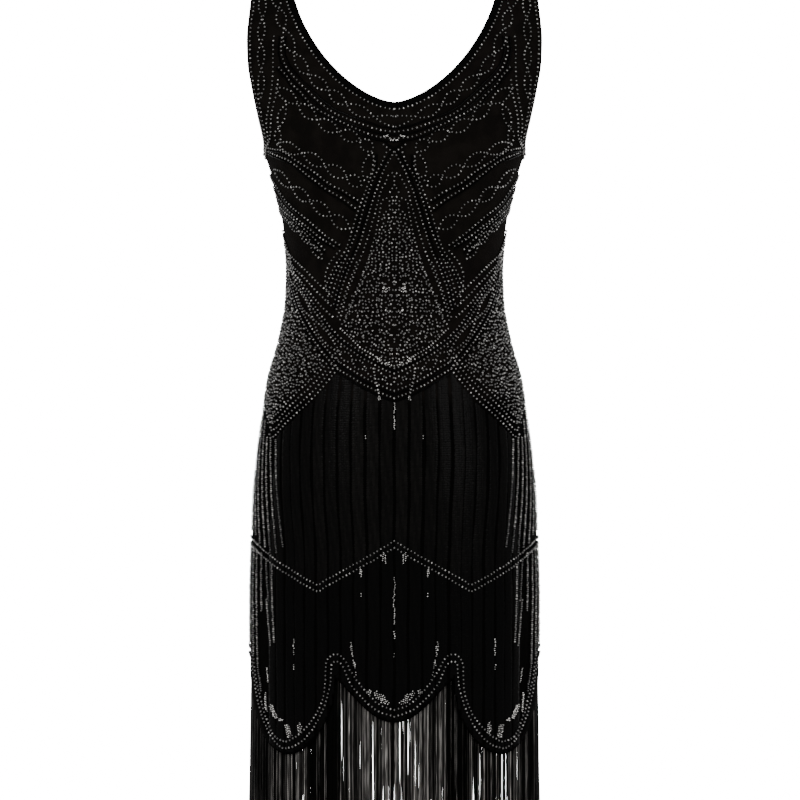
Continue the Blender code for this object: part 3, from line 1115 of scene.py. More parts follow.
@dataclass
class NeckBinding:
    """A satin strip folded over the neck edge of one side."""

    form: DressForm
    side: Side
    width: float = 0.007
    inner_width: float = 0.75
    fold: float = 0.0008
    cloth: float = 0.0009
    height: float = 0.0012
    edge_height: float = 0.0009
    room: float = 0.0002
    stations: int = 150
    look_aside: float = 0.002
    uv_step: float = 0.0015

    def profile(self) -> Knots:
        """The strip's section in order round it, as distances into the cloth and lifts above it.

        Returns:
            Its corners.
        """
        top, under, back = self.height, -(self.cloth + self.height), -self.cloth - self.room
        width, inside = self.width, self.width * self.inner_width
        outer = ((width, self.room), (width, self.edge_height), (width * 0.85, top))
        crown = ((width * 0.40, top + 0.0001), (0.0004, top), (-self.fold, 0.0004))
        below = ((-self.fold, back), (0.0004, under), (inside, under), (inside, back))
        return outer + crown + below + ((0.0001, back), (0.0001, self.room))

    def build(self) -> Object:
        """Builds the strip from shoulder to shoulder.

        Returns:
            The piece.
        """
        form, side = self.form, self.side
        right = form.evenly(side, form.neckline, 0, 90, self.stations)
        edge = right.mirrored()[::-1].then(right)
        points, normals = form.points(edge), form.normals(edge)
        normals[[0, -1], 1] = 0.0
        normals = unit(normals)
        inwards = unit(form.points(form.offset(edge, -self.look_aside)) - points)
        rings = [points + inwards * into + normals * lift for into, lift in self.profile()]
        rings = np.stack(rings, axis=1)
        rings[..., 1] = side.value * np.maximum(side.value * rings[..., 1], SEAM_GAP / 2)
        stations, corners = rings.shape[:2]
        faces = tube(stations, corners, side is FRONT)
        places = laid_out(np.arange(corners) * self.uv_step, form.lengths(edge))
        piece = mapped(f"neck_binding_fine_{side.label}", rings, faces, places)
        return finished(piece, Slot.SATIN, f"neck_binding_{side.label}")


@dataclass
class SeamTapes:
    """The tapes sewn inside over the side seams and the shoulder seams."""

    form: DressForm
    half_turn: float = 2.6
    side_depth: float = 0.0023
    shoulder_depth: float = 0.0011
    thickness: float = 0.0005
    seam_ends: tuple[float, float] = (-0.2412, -0.8600)
    shoulder_ends: tuple[float, float] = (0.1325, 0.1650)
    shoulder_reach: float = 0.0060
    side_stations: int = 120
    shoulder_stations: int = 20
    side_fold: float = 0.5
    shoulder_fold: float = 0.4
    uv_steps: tuple[float, float] = (0.003, 0.005)

    def side_tape(self, way: int, name: str) -> Object:
        """The tape over one side seam.

        Args:
            way: 1 for the seam at +X, -1 for the one at -X.
            name: The piece's name.

        Returns:
            The piece.
        """
        heights = np.linspace(*self.seam_ends, self.side_stations)
        seam = np.stack([way * self.form.half_width(heights), heights * 0, heights], axis=1)
        fold, lines = self.side_fold, []
        for side, share in ((FRONT, 1.0), (FRONT, fold), (BACK, fold), (BACK, 1.0)):
            turn = way * (90.0 - share * self.half_turn)
            lines.append(Places(side, np.full_like(heights, turn), heights))
        return self.tape(name, lines, seam, (-way, 0.0, 0.0), self.side_depth, way < 0)

    def shoulder_tape(self, way: int, name: str) -> Object:
        """The tape under one shoulder seam.

        Args:
            way: 1 for the seam at +X, -1 for the one at -X.
            name: The piece's name.

        Returns:
            The piece.
        """
        out = np.linspace(*self.shoulder_ends, self.shoulder_stations)
        ridge = self.form.shoulder_line(out)
        seam = np.stack([way * out, out * 0, ridge], axis=1)
        fold, lines = self.shoulder_fold, []
        for side, share in ((FRONT, 1.0), (FRONT, fold), (BACK, fold), (BACK, 1.0)):
            heights = ridge - share * self.shoulder_reach
            lines.append(Places(side, way * self.form.turn_of(out, heights), heights))
        return self.tape(name, lines, seam, (0.0, 0.0, -1.0), self.shoulder_depth, way < 0)

    def tape(
        self, name: str, lines: list[Places], seam: Array, inwards: tuple, depth: float, flipped: bool
    ) -> Object:
        """Makes one tape.

        Args:
            name: The piece's name.
            lines: Two lines on the front and two on the back that it lies under.
            seam: Points of the seam between them.
            inwards: The way into the dress at the seam.
            depth: How far under the cloth's outer face it lies.
            flipped: Whether the lines' quads face inwards.

        Returns:
            The piece.
        """
        sheets = []
        for lift in (depth, depth + self.thickness):
            columns = [self.form.smooth(line) - self.form.normals(line) * lift for line in lines]
            columns.insert(2, seam + np.array(inwards) * lift)
            sheets.append(np.stack(columns, axis=1))
        rows, columns = sheets[0].shape[:2]
        faces = quads(numbered(rows, columns).T)
        across, along = self.uv_steps
        places = laid_out(np.arange(columns) * across, np.arange(rows) * along)
        return finished(shell(name, *sheets, faces[:, ::-1] if flipped else faces, places), Slot.SATIN)

    def build(self) -> None:
        """Builds all four tapes."""
        for kind, make in (("side", self.side_tape), ("shoulder", self.shoulder_tape)):
            for way, hand in ((1, "left"), (-1, "right")):
                make(way, f"{kind}_tape_{hand}")


# ------------------------------------------------------------------------------------------ fringe


@dataclass
class Fringe:
    """Threads that hang from a tape inside one side's scalloped hem."""

    form: DressForm
    side: Side
    pitch: float = 0.00080
    radius: float = 0.00058
    bottom: float = -1.067
    unevenness: float = 0.003
    set_in: float = 0.0022
    set_in_spread: float = 0.0016
    overlap: float = 0.002
    last_turn: float = 89.8
    hem_places: int = 1600
    scatter: float = 0.10
    body_radius: float = 0.15
    clump_width: float = 0.0075
    clump_pull: float = 0.04
    pull_spread: tuple[float, float] = (0.4, 1.2)
    clump_wave: tuple[float, float, float] = (0.35, 91.0, 1.3)
    stray_pull: float = 0.0005
    gap_share: float = 0.060
    gap_run: int = 3
    open_least: float = 0.14
    open_at: tuple[tuple[float, float, float], ...] = ((0.0, 20.5, 0.86), (47.0, 15.5, 0.62))
    open_power: float = 8
    group_depth: Knots = ((20.0, 0.32), (30.0, 0.50))
    group_wave: tuple[float, float, float, float] = (1.9, 2.6, 0.62, 0.9)
    # Painted light on the threads: how light they get, how much paired threads share it, and where stray lit
    # threads are.
    lightest: float = 1.4
    paired: float = 0.7
    darkest: float = 0.05
    stray_from: float = 0.75
    stray_glint: float = 1.7
    stray_at: Knots = ((18.0, 0.2), (26.0, 1.0), (56.0, 1.0), (70.0, 0.2))
    flare: float = 0.0034
    edge_power: float = 6
    edge_set_out: float = 0.4
    depth_sway: float = 0.5
    sway: float = 0.0006
    sway_waves: tuple[float, float, float, float] = (5.2, 0.7, 3.7, 0.8)
    tip: float = 0.7
    thread_rings: int = 8
    thread_corners: int = 4
    tape_width: float = 0.007
    tape_thickness: float = 0.0009
    tape_lift: float = 0.0012
    tape_pitch: float = 0.003
    tape_rise: float = 0.001
    tape_end: float = 89.6
    tape_places: int = 900
    spread: tuple[float, float] = (0.985, 1.005)
    seed: int = 31

    def thread(self) -> Object:
        """One thread of unit length that hangs down from the origin, swaying a little.

        Returns:
            The thread, which is only an example to sew on.
        """
        down = np.linspace(0.0, 1.0, self.thread_rings)[:, None]
        waves, growth, depth_waves, start = self.sway_waves
        sway_x = self.sway * np.sin(down * waves) * down**growth
        sway_y = self.depth_sway * self.sway * np.sin(down * depth_waves + start) * down
        thick = self.radius * np.where(down == 1.0, self.tip, 1.0)
        corners = np.arange(self.thread_corners) * math.tau / self.thread_corners
        x, y = sway_x + thick * np.cos(corners), sway_y + thick * np.sin(corners)
        rings = np.stack([x, y, np.broadcast_to(-down, x.shape)], axis=-1)
        thread = example("thread", rings, tube(self.thread_rings, self.thread_corners, True))
        thread.data.shade_smooth()
        return thread

    def plan(self) -> Plan:
        """Where each thread hangs, how long it is and how it leans into its clump.

        Returns:
            The plan.
        """
        form, side = self.form, self.side
        random = np.random.default_rng(self.seed + side.value)
        end = self.last_turn
        hem = form.resampled(form.hem(side, np.linspace(-end, end, self.hem_places)), self.pitch)
        runs = random.uniform(0.0, 1.0, len(hem.turns) // self.gap_run + 1)
        runs = np.repeat(runs, self.gap_run)[: len(hem.turns)]
        kept = runs > self.gap_share * self.openness(hem.turns) * self.group(hem.turns)
        count = int(kept.sum())
        turns = np.clip(hem.turns[kept] + random.normal(0.0, self.scatter, count), -end, end)
        at = form.hem(side, turns).moved(0.0, self.overlap)
        outwards = form.normals(at)
        edge = (np.abs(turns) / 90.0) ** self.edge_power
        depth = self.set_in + random.uniform(0.0, self.set_in_spread, count)
        depth = depth * (1 - self.edge_set_out * edge)
        roots = form.points(at) - outwards * depth[:, None]
        length = roots[:, 2] - self.bottom + random.normal(0.0, self.unevenness, count)
        around = np.radians(turns) * self.body_radius
        share, waves, start = self.clump_wave
        wander = share * self.clump_width * np.sin(around * waves + start)
        clump = np.round((around + wander) / self.clump_width) * self.clump_width - wander
        pull = (clump - around) * self.clump_pull * random.uniform(*self.pull_spread, count)
        pull += random.normal(0.0, self.stray_pull, count)
        hanging = form.sideways(at) * pull[:, None] + outwards * (self.flare * edge)[:, None]
        hanging[:, 1] *= self.depth_sway
        hanging[:, 2] = -length
        up = -unit(hanging)
        spin = random.uniform(0.0, math.tau, count)
        spun = np.stack([np.cos(spin), np.sin(spin), np.zeros(count)], axis=1)
        along = np.cross(unit(np.cross(up, spun)), up)
        size = np.stack([np.ones(count), np.ones(count), np.linalg.norm(hanging, axis=1)], axis=1)
        plan = Plan()
        plan.put(roots, along, up, size, self.lightness(turns, random))
        return plan

    def openness(self, turns: Array) -> Array:
        """How thin the fringe is: least between the scallops and most under the middle of each.

        Args:
            turns: The places' turns.

        Returns:
            A value from 0 to 1 for each.
        """
        openness = np.full(turns.shape, self.open_least)
        for turn, reach, share in self.open_at:
            openness += share * np.exp(-(((np.abs(turns) - turn) / reach) ** self.open_power))
        return openness

    def group(self, turns: Array) -> Array:
        """How much each place belongs to a group of thin threads that are painted lighter.

        Args:
            turns: The places' turns.

        Returns:
            A value from 0 to 1 for each.
        """
        around = np.abs(turns)
        depth = np.interp(around, *zip(*self.group_depth))
        waves, bend, bends, start = self.group_wave
        return 1 - depth + depth * np.sin(around * waves + bend * np.sin(around * bends) + start)

    def lightness(self, turns: Array, random: np.random.Generator) -> Array:
        """Painted light on the threads: most are black, and where the fringe is thin some get a lighter
        colour as if they caught the light.

        Args:
            turns: The threads' turns.
            random: The fringe's random draws.

        Returns:
            A value from 0 to 1 for each thread.
        """
        pairs = np.repeat(random.uniform(0.0, 1.0, len(turns) // 2 + 1), 2)[: len(turns)]
        strand = self.paired * pairs + (1 - self.paired) * random.uniform(0.0, 1.0, len(turns))
        # Painted light: threads where the fringe is thin, and a few strays, are made lighter as if lit.
        light = self.lightest * self.openness(turns) * self.group(turns) * strand**2
        stray = np.clip((strand - self.stray_from) / (1 - self.stray_from), 0.0, 1.0)
        light += self.stray_glint * stray * np.interp(np.abs(turns), *zip(*self.stray_at))
        return np.clip(light - self.darkest, 0.0, 1.0)

    def tape(self) -> Object:
        """The tape that the threads are sewn to, along the inside of the hem.

        Returns:
            The piece.
        """
        form, side = self.form, self.side
        hem = form.hem(side, np.linspace(-self.tape_end, self.tape_end, self.tape_places))
        edge = form.resampled(hem.moved(0.0, self.tape_rise), self.tape_pitch)
        rows = np.stack([form.points(edge), form.points(form.offset(edge, self.tape_width))])
        lifts = (self.tape_lift, self.tape_lift + self.tape_thickness)
        sheets = [rows - form.normals(edge) * lift for lift in lifts]
        faces = quads(numbered(2, len(edge.turns)))
        if side is BACK:
            faces = faces[:, ::-1]
        places = laid_out(form.lengths(edge), np.array([0.0, self.tape_width]))
        return shell(f"fringe_tape_{side.label}", *sheets, faces, places)

    def build(self) -> list[Object]:
        """Builds the threads and their tape.

        Returns:
            The two pieces.
        """
        name = f"fringe_threads_{self.side.label}"
        threads = self.plan().sewn(name, self.thread(), Slot.FRINGE, self.spread, self.seed)
        threads = finished(threads, Slot.FRINGE, f"fringe_{self.side.label}")
        return [threads, finished(self.tape(), Slot.FRINGE)]


# ---------------------------------------------------------------------------------------- beadwork


class Stitch(Enum):
    """The ways in which a line of beads is laid."""

    ROW = "row"
    CHAIN = "chain"


@dataclass(frozen=True)
class Trim:
    """One line of beadwork, drawn on the right half of a side and mirrored.

    A row runs through its knots. A chain is two strands that cross at every knot and swing half_width to
    each side between them; one that opens midway starts in the middle of a link. Rows of black bugles
    follow it at each distance in bugles.
    """

    knots: Knots
    stitch: Stitch = Stitch.ROW
    half_width: float = 0.0068
    opens_midway: bool = False
    # Painted light: how light the beads' colour is, for how much they glint.
    glint: float = 0.20
    pitch: float = 0.0052
    bugles: tuple[float, ...] = ()


def chart(*knots: tuple[float, float]) -> Knots:
    """A line's knots, each charted as its turn in degrees and its depth in millimetres."""
    return tuple((float(turn), -depth / 1000) for turn, depth in knots)


def raised(knots: Knots, rise: float) -> Knots:
    """A line's knots, higher by a given distance."""
    return tuple((turn, height + rise) for turn, height in knots)


def chain(knots: Knots, half_width: float = Trim.half_width, **sizes: float) -> Trim:
    """A chain through the given knots."""
    return Trim(knots, Stitch.CHAIN, half_width, **sizes)


YOKE_UPPER = chart(
    (0, 226), (5, 224), (13.5, 216), (24, 202), (28.5, 190), (33, 174), (37, 159), (39.5, 145),
    (40.5, 129), (39.5, 112),
)
YOKE_LOWER = chart(
    (0, 234), (6.5, 232), (17, 220), (27, 204), (32, 194), (35.5, 178), (38.5, 168), (40, 158),
    (42.5, 147),
)
NECK_CHAIN = chart(
    (0, 214), (8, 208), (18, 193), (24, 176), (30.5, 157), (35, 131), (38.5, 101), (41, 76),
    (43.5, 50), (45, 25), (45.5, 3),
)
STRAP_CHAIN = chart((57, 181), (51.5, 148), (49.5, 118), (48.5, 87), (49.5, 56), (51, 27))
STRAP_ROWS = (
    chart(
        (78, 244), (67, 231), (60.5, 210), (52.5, 186), (47.5, 163), (45, 143), (44, 126), (43, 110)
    ),
    chart((76, 242), (64, 229), (56.5, 208), (51.5, 192), (47.5, 178), (44.5, 162)),
)
YOKE_LOOPS = chart(
    (46.5, 171), (38, 191), (31.5, 210), (23, 225), (14.5, 236), (10, 250), (14, 282)
)
UNDERARM_LOOPS = chart((44, 191), (53.5, 218), (60, 237))
UPPER_OVALS = chart((59, 236), (44, 249), (32.5, 265), (22, 278), (15.5, 288))
LOWER_OVALS = chart((72, 265), (57, 288), (44.5, 305), (33.5, 323), (23, 338))
BUNDLE_LOOPS = chart((68, 329), (57.5, 340), (48.5, 356), (41, 373))
UPPER_PAIR = (
    chart((70, 240), (58.5, 244), (48.5, 258), (39.5, 271), (32.5, 284), (25, 294), (18, 305)),
    chart((72, 244), (55, 256), (44, 274), (34.5, 290), (26.5, 302), (19.5, 314)),
)
BUNDLE = (
    chart((90, 270), (78, 282), (65, 306), (54, 320), (38, 345), (29.5, 357)),
    chart((90, 284), (79, 298), (63.5, 318), (50, 336), (42, 347), (33, 358)),
    chart((90, 297), (79.5, 308), (58.5, 329), (48.5, 344), (39, 362)),
    chart((90, 309), (78, 318), (63.5, 332), (53, 348), (43.5, 363)),
)
WAIST = (
    chart((90, 352), (79, 362), (63, 376), (52.5, 388), (44.5, 401), (36, 415)),
    chart((90, 361), (82, 370), (61.5, 387), (52, 400), (43.5, 414), (34.5, 429)),
    chart((90, 368), (82, 377), (61, 395), (51.5, 411), (42.5, 427), (33, 442)),
)
PEAK_CROSSING = chart(
    (-4.5, 241), (-2.5, 246), (0, 250), (1.5, 256), (3.5, 265), (5.5, 275), (7, 285), (9.5, 299),
    (12.5, 320), (18.5, 358), (24.5, 386), (29, 412), (31, 433),
)
PEAK_SECOND = chart(
    (3.5, 250), (5, 260), (7, 269), (9.5, 279), (11.5, 291), (14.5, 310), (19, 340), (27, 376),
    (31.5, 398), (34.5, 418),
)
PEAK_OUTER = chart(
    (9, 254), (9.5, 267), (11, 279), (13.5, 293), (18.5, 320), (26, 363), (31, 377), (35, 391),
    (38.5, 406),
)
PEAK_INNER = (
    chart(
        (1, 274), (2.5, 276), (3.5, 281), (4.5, 286), (6.5, 295), (7.5, 304), (9.5, 320), (15, 358),
        (21.5, 393), (26.5, 424), (28.5, 446),
    ),
    chart(
        (3.5, 303), (6, 306), (7, 316), (8, 329), (9.5, 344), (15.5, 386), (21.5, 419), (26, 447)
    ),
    chart((29.5, 364), (33.5, 372), (37, 382), (39, 396), (38, 410)),
    chart((29, 378), (33.5, 394), (36.5, 412), (37, 423)),
    chart((24, 374), (28, 392), (31, 410), (33, 427)),
    chart((20, 378), (25, 406), (28.5, 430), (30, 442)),
)
CENTRE_STRING = chart((0, 278), (0, 288), (1, 292), (2, 296))
TEARDROP_TOP = chart((0, 299), (2.5, 308), (6, 330), (12, 370), (18.5, 405), (25, 434), (27.5, 456))
TEARDROP_FOOT = chart((0, 500), (5, 497), (10, 487), (16, 479), (22.5, 466), (27.5, 456))
DROP_STRING = chart((9.5, 503), (8, 520), (6.5, 536))
BELT = chart(
    (90, 372), (78, 393), (65.5, 423), (46, 463), (26.5, 503), (19.5, 513), (13.5, 522), (4, 534),
    (0, 538),
)
INWARDS = BELT[::-1]
HIP = chart(
    (26.5, 504), (33.5, 526), (39.5, 541), (46, 554), (54.5, 570), (61.5, 583), (64.5, 585)
)
HIP_SIDE = chart((64.5, 585), (68, 572), (73, 558), (81, 547), (90, 541))
ZIGZAG = chart(
    (0, 705), (9.5, 722), (21, 741), (28.5, 753), (31, 757), (34, 754), (45.5, 739), (63, 719),
    (78, 707), (90, 703),
)
HEM_OUTER = chart(
    (0, 911), (6.5, 904), (12.5, 889), (17.5, 871), (21, 850), (23.5, 846), (25, 850), (25.5, 868),
    (27, 889), (31.5, 918), (37.5, 939), (44, 949), (48.5, 951), (52.5, 947), (61.5, 924),
    (70.5, 888), (75.5, 861), (79, 849), (84, 844), (90, 842),
)
HEM_INNER = chart(
    (0, 903), (5, 898), (11, 882), (15.5, 865), (19, 848), (21, 840), (23.5, 838), (26, 842),
    (27.5, 851), (28, 878), (30.5, 902), (34.5, 919), (42.5, 938), (47.5, 943), (53.5, 939),
    (61, 915), (66.5, 890), (71, 870), (74.5, 848), (79, 838), (90, 833),
)
# Painted reflection: strings of silver beads down the skirt's flanks stand in for the grazing reflections on
# its black beads there. Columns: turn, top, lower turn, bottom, glint.
LIT, DULL = Trim.glint, 0.05
SIDE_STRINGS = tuple(
    Trim(chart((turn, top), (low_turn, bottom)), glint=glint, pitch=0.0025)
    for turn, top, low_turn, bottom, glint in (
        (59.5, 587, 56, 632, LIT),
        (64, 588, 55.5, 692, LIT),
        (68.5, 585, 59.5, 696, LIT),
        (74.5, 564, 62.5, 714, LIT),
        (80.5, 554, 68, 710, LIT),
        (85.5, 548, 73.5, 700, LIT),
        (89, 565, 78.5, 697, LIT),
        (89, 625, 83.5, 695, LIT),
        (56, 632, 49.5, 713, DULL),
        (55.5, 692, 53.5, 720, DULL),
        (59.5, 696, 58, 720, DULL),
        (56.5, 735, 54.5, 826, LIT),
        (61, 729, 58.5, 777, DULL),
        (60, 777, 57, 830, LIT),
        (66, 722, 64.5, 790, LIT),
        (71.5, 719, 69, 853, LIT),
        (76.5, 715, 74.5, 842, LIT),
        (81.5, 712, 79.5, 833, LIT),
        (86.5, 710, 85, 830, LIT),
        (69, 853, 65, 885, DULL),
    )
)

BODICE_TRIMS = (
    chain(NECK_CHAIN, 0.0062, opens_midway=True),
    chain(STRAP_CHAIN, 0.0050),
    *(Trim(knots) for knots in STRAP_ROWS),
    Trim(YOKE_UPPER, bugles=(-0.0042, 0.0042)),
    Trim(YOKE_LOWER, bugles=(-0.0034,)),
    chain(YOKE_LOOPS),
    chain(UNDERARM_LOOPS, 0.0052),
    chain(UPPER_OVALS),
    chain(LOWER_OVALS, 0.0074),
    chain(BUNDLE_LOOPS, 0.0048),
    *(Trim(knots, bugles=(0.0036,)) for knots in UPPER_PAIR),
    *(Trim(knots, bugles=(0.0034,)) for knots in BUNDLE),
    *(Trim(knots, glint=0.24) for knots in WAIST),
    Trim(PEAK_CROSSING, pitch=0.0048, bugles=(0.0034,)),
    Trim(PEAK_SECOND),
    Trim(PEAK_OUTER, bugles=(-0.0034,)),
    *(Trim(knots) for knots in PEAK_INNER),
    Trim(CENTRE_STRING, pitch=0.0040),
    Trim(TEARDROP_FOOT, glint=0.42, pitch=0.0036),
)
BELT_TRIMS = (
    Trim(INWARDS, glint=0.22, pitch=0.0048, bugles=(-0.0042,)),
    Trim(raised(INWARDS, 0.0085), pitch=0.0048, bugles=(-0.0040,)),
    chain(raised(INWARDS, 0.0190), 0.0052, pitch=0.0048),
    Trim(raised(INWARDS, 0.0290), pitch=0.0048, bugles=(0.0030,)),
    Trim(raised(INWARDS, 0.0350), glint=0.24),
    Trim(DROP_STRING, glint=0.50, pitch=0.0042),
    Trim(HIP, glint=0.26),
    Trim(raised(HIP, 0.0088), glint=0.24),
    Trim(raised(HIP, 0.0176)),
    Trim(raised(HIP, 0.0264)),
)
SKIRT_TRIMS = (
    Trim(ZIGZAG, pitch=0.0046),
    Trim(raised(ZIGZAG, -0.0079), pitch=0.0046),
    Trim(HEM_OUTER, pitch=0.0048),
    Trim(HEM_INNER, pitch=0.0048),
    *SIDE_STRINGS,
)


class Glimmer(NamedTuple):
    """A painted highlight: a short string of bright silver beads where the black beadwork would glint, and
    how many hang side by side.
    """

    turn: float
    top: float
    bottom: float
    strings: int = 1
    lean: float = 0.0
    glint: float = 1.0


# Painted highlights as bright silver strings: turn, top, bottom in millimetres, strings, lean and glint.
GLIMMERS = tuple(
    Glimmer(turn, -top / 1000, -bottom / 1000, *rest)
    for turn, top, bottom, *rest in (
        (3.5, 228, 232, 3, 0.0, 2.5),
        (1.0, 233, 235, 2, 0.0, 2.5),
        (5.0, 407, 414, 4, 0.0, 4.0),
        (4.0, 432, 437, 2, 0.0, 2.0),
        (1.5, 483, 487, 2, 0.0, 1.5),
        (6.5, 489, 494, 2, 0.0, 1.5),
        (3.0, 494, 500, 3, 0.0, 2.0),
        (6.5, 535, 541, 2, 0.0, 1.5),
        (0.0, 544, 555),
        (0.0, 559, 574),
        (12.0, 582, 585),
        (4.5, 719, 728, 1, 0.0, 1.5),
        (3.5, 722, 731, 1, 0.0, 1.5),
        (13.5, 736, 743, 1, 0.0, 1.5),
        (13.0, 739, 747, 1, 0.0, 1.5),
        (13.0, 767, 770),
        (0.0, 748, 760, 1, 0.3, 1.6),
        (0.0, 762, 782, 1, -0.3, 1.6),
        (0.0, 784, 802, 1, 0.0, 1.6),
        (0.0, 811, 819),
        (0.0, 837, 838),
        (17.0, 824, 833),
        (16.5, 829, 840),
        (16.0, 845, 851),
        (15.5, 848, 854),
        (15.0, 859, 862),
        (10.0, 878, 886, 3),
        (7.0, 881, 891, 3, -0.8),
        (5.0, 884, 895, 3, -0.8),
        (3.5, 889, 898, 3, -0.8),
        (60.0, 858, 874, 1, -0.9),
        (61.5, 886, 910, 2, -0.8),
        (57.0, 899, 918, 4, -3.2),
        (50.5, 915, 920, 4),
        (46.5, 921, 940, 4, -1.2),
        (40.0, 920, 933, 3),
        (43.0, 822, 830),
        (43.0, 833, 840),
        (43.0, 852, 857),
    )
)


@dataclass
class BeadShapes:
    """The small parts that are sewn on: round seed beads, tube-shaped bugle beads and flat sequins."""

    bead_radius: float = 0.00142
    bead_length: float = 0.80
    bead_fullness: float = 0.94
    sequin_radius: float = 0.00235
    sequin_thickness: float = 0.00035
    bugle_radius: float = 0.00095
    bugle_length: float = 0.0044
    corners: int = 6

    def ring(self, radius: float) -> Array:
        """Both coordinates of the corners round a part."""
        angles = math.tau * np.arange(self.corners) / self.corners
        return radius * np.stack([np.cos(angles), np.sin(angles)], axis=1)

    def tube_points(self, radius: float, length: float) -> Array:
        """The corners at both ends of a tube along X."""
        ring = self.ring(radius)
        return np.concatenate([np.insert(ring, 0, end * length, axis=1) for end in (-0.5, 0.5)])

    def bead(self) -> Object:
        """A seed bead with its hole along X.

        Returns:
            The bead, which is only an example to sew on.
        """
        tip = self.bead_length * self.bead_radius
        middle = self.tube_points(self.bead_fullness * self.bead_radius, tip)
        points = np.concatenate([[(-tip, 0.0, 0.0)], middle, [(tip, 0.0, 0.0)]])
        count, last, faces = self.corners, len(points) - 1, []
        for k in range(1, count + 1):
            after = k % count + 1
            faces += [(0, after, k), (k, after, count + after, count + k), (last, count + k, count + after)]
        bead = example("seed_bead", points, faces)
        bead.data.shade_smooth()
        return bead

    def bugle(self) -> Object:
        """A bugle bead that lies along X, as an example to sew on."""
        points = self.tube_points(self.bugle_radius, self.bugle_length)
        return example("bugle_bead", points, tube(2, self.corners, False))

    def sequin(self) -> Object:
        """A small flat sequin that faces along Z.

        Returns:
            The sequin, which is only an example to sew on.
        """
        rim, crown = np.insert(self.ring(self.sequin_radius), 2, 0.0, axis=1), self.sequin_thickness / 2
        points = np.concatenate([[(0.0, 0.0, crown)], rim, [(0.0, 0.0, -crown)]])
        count, faces = self.corners, []
        for k in range(1, count + 1):
            after = k % count + 1
            faces += [(0, k, after), (count + 1, after, k)]
        return example("sequin", points, faces)


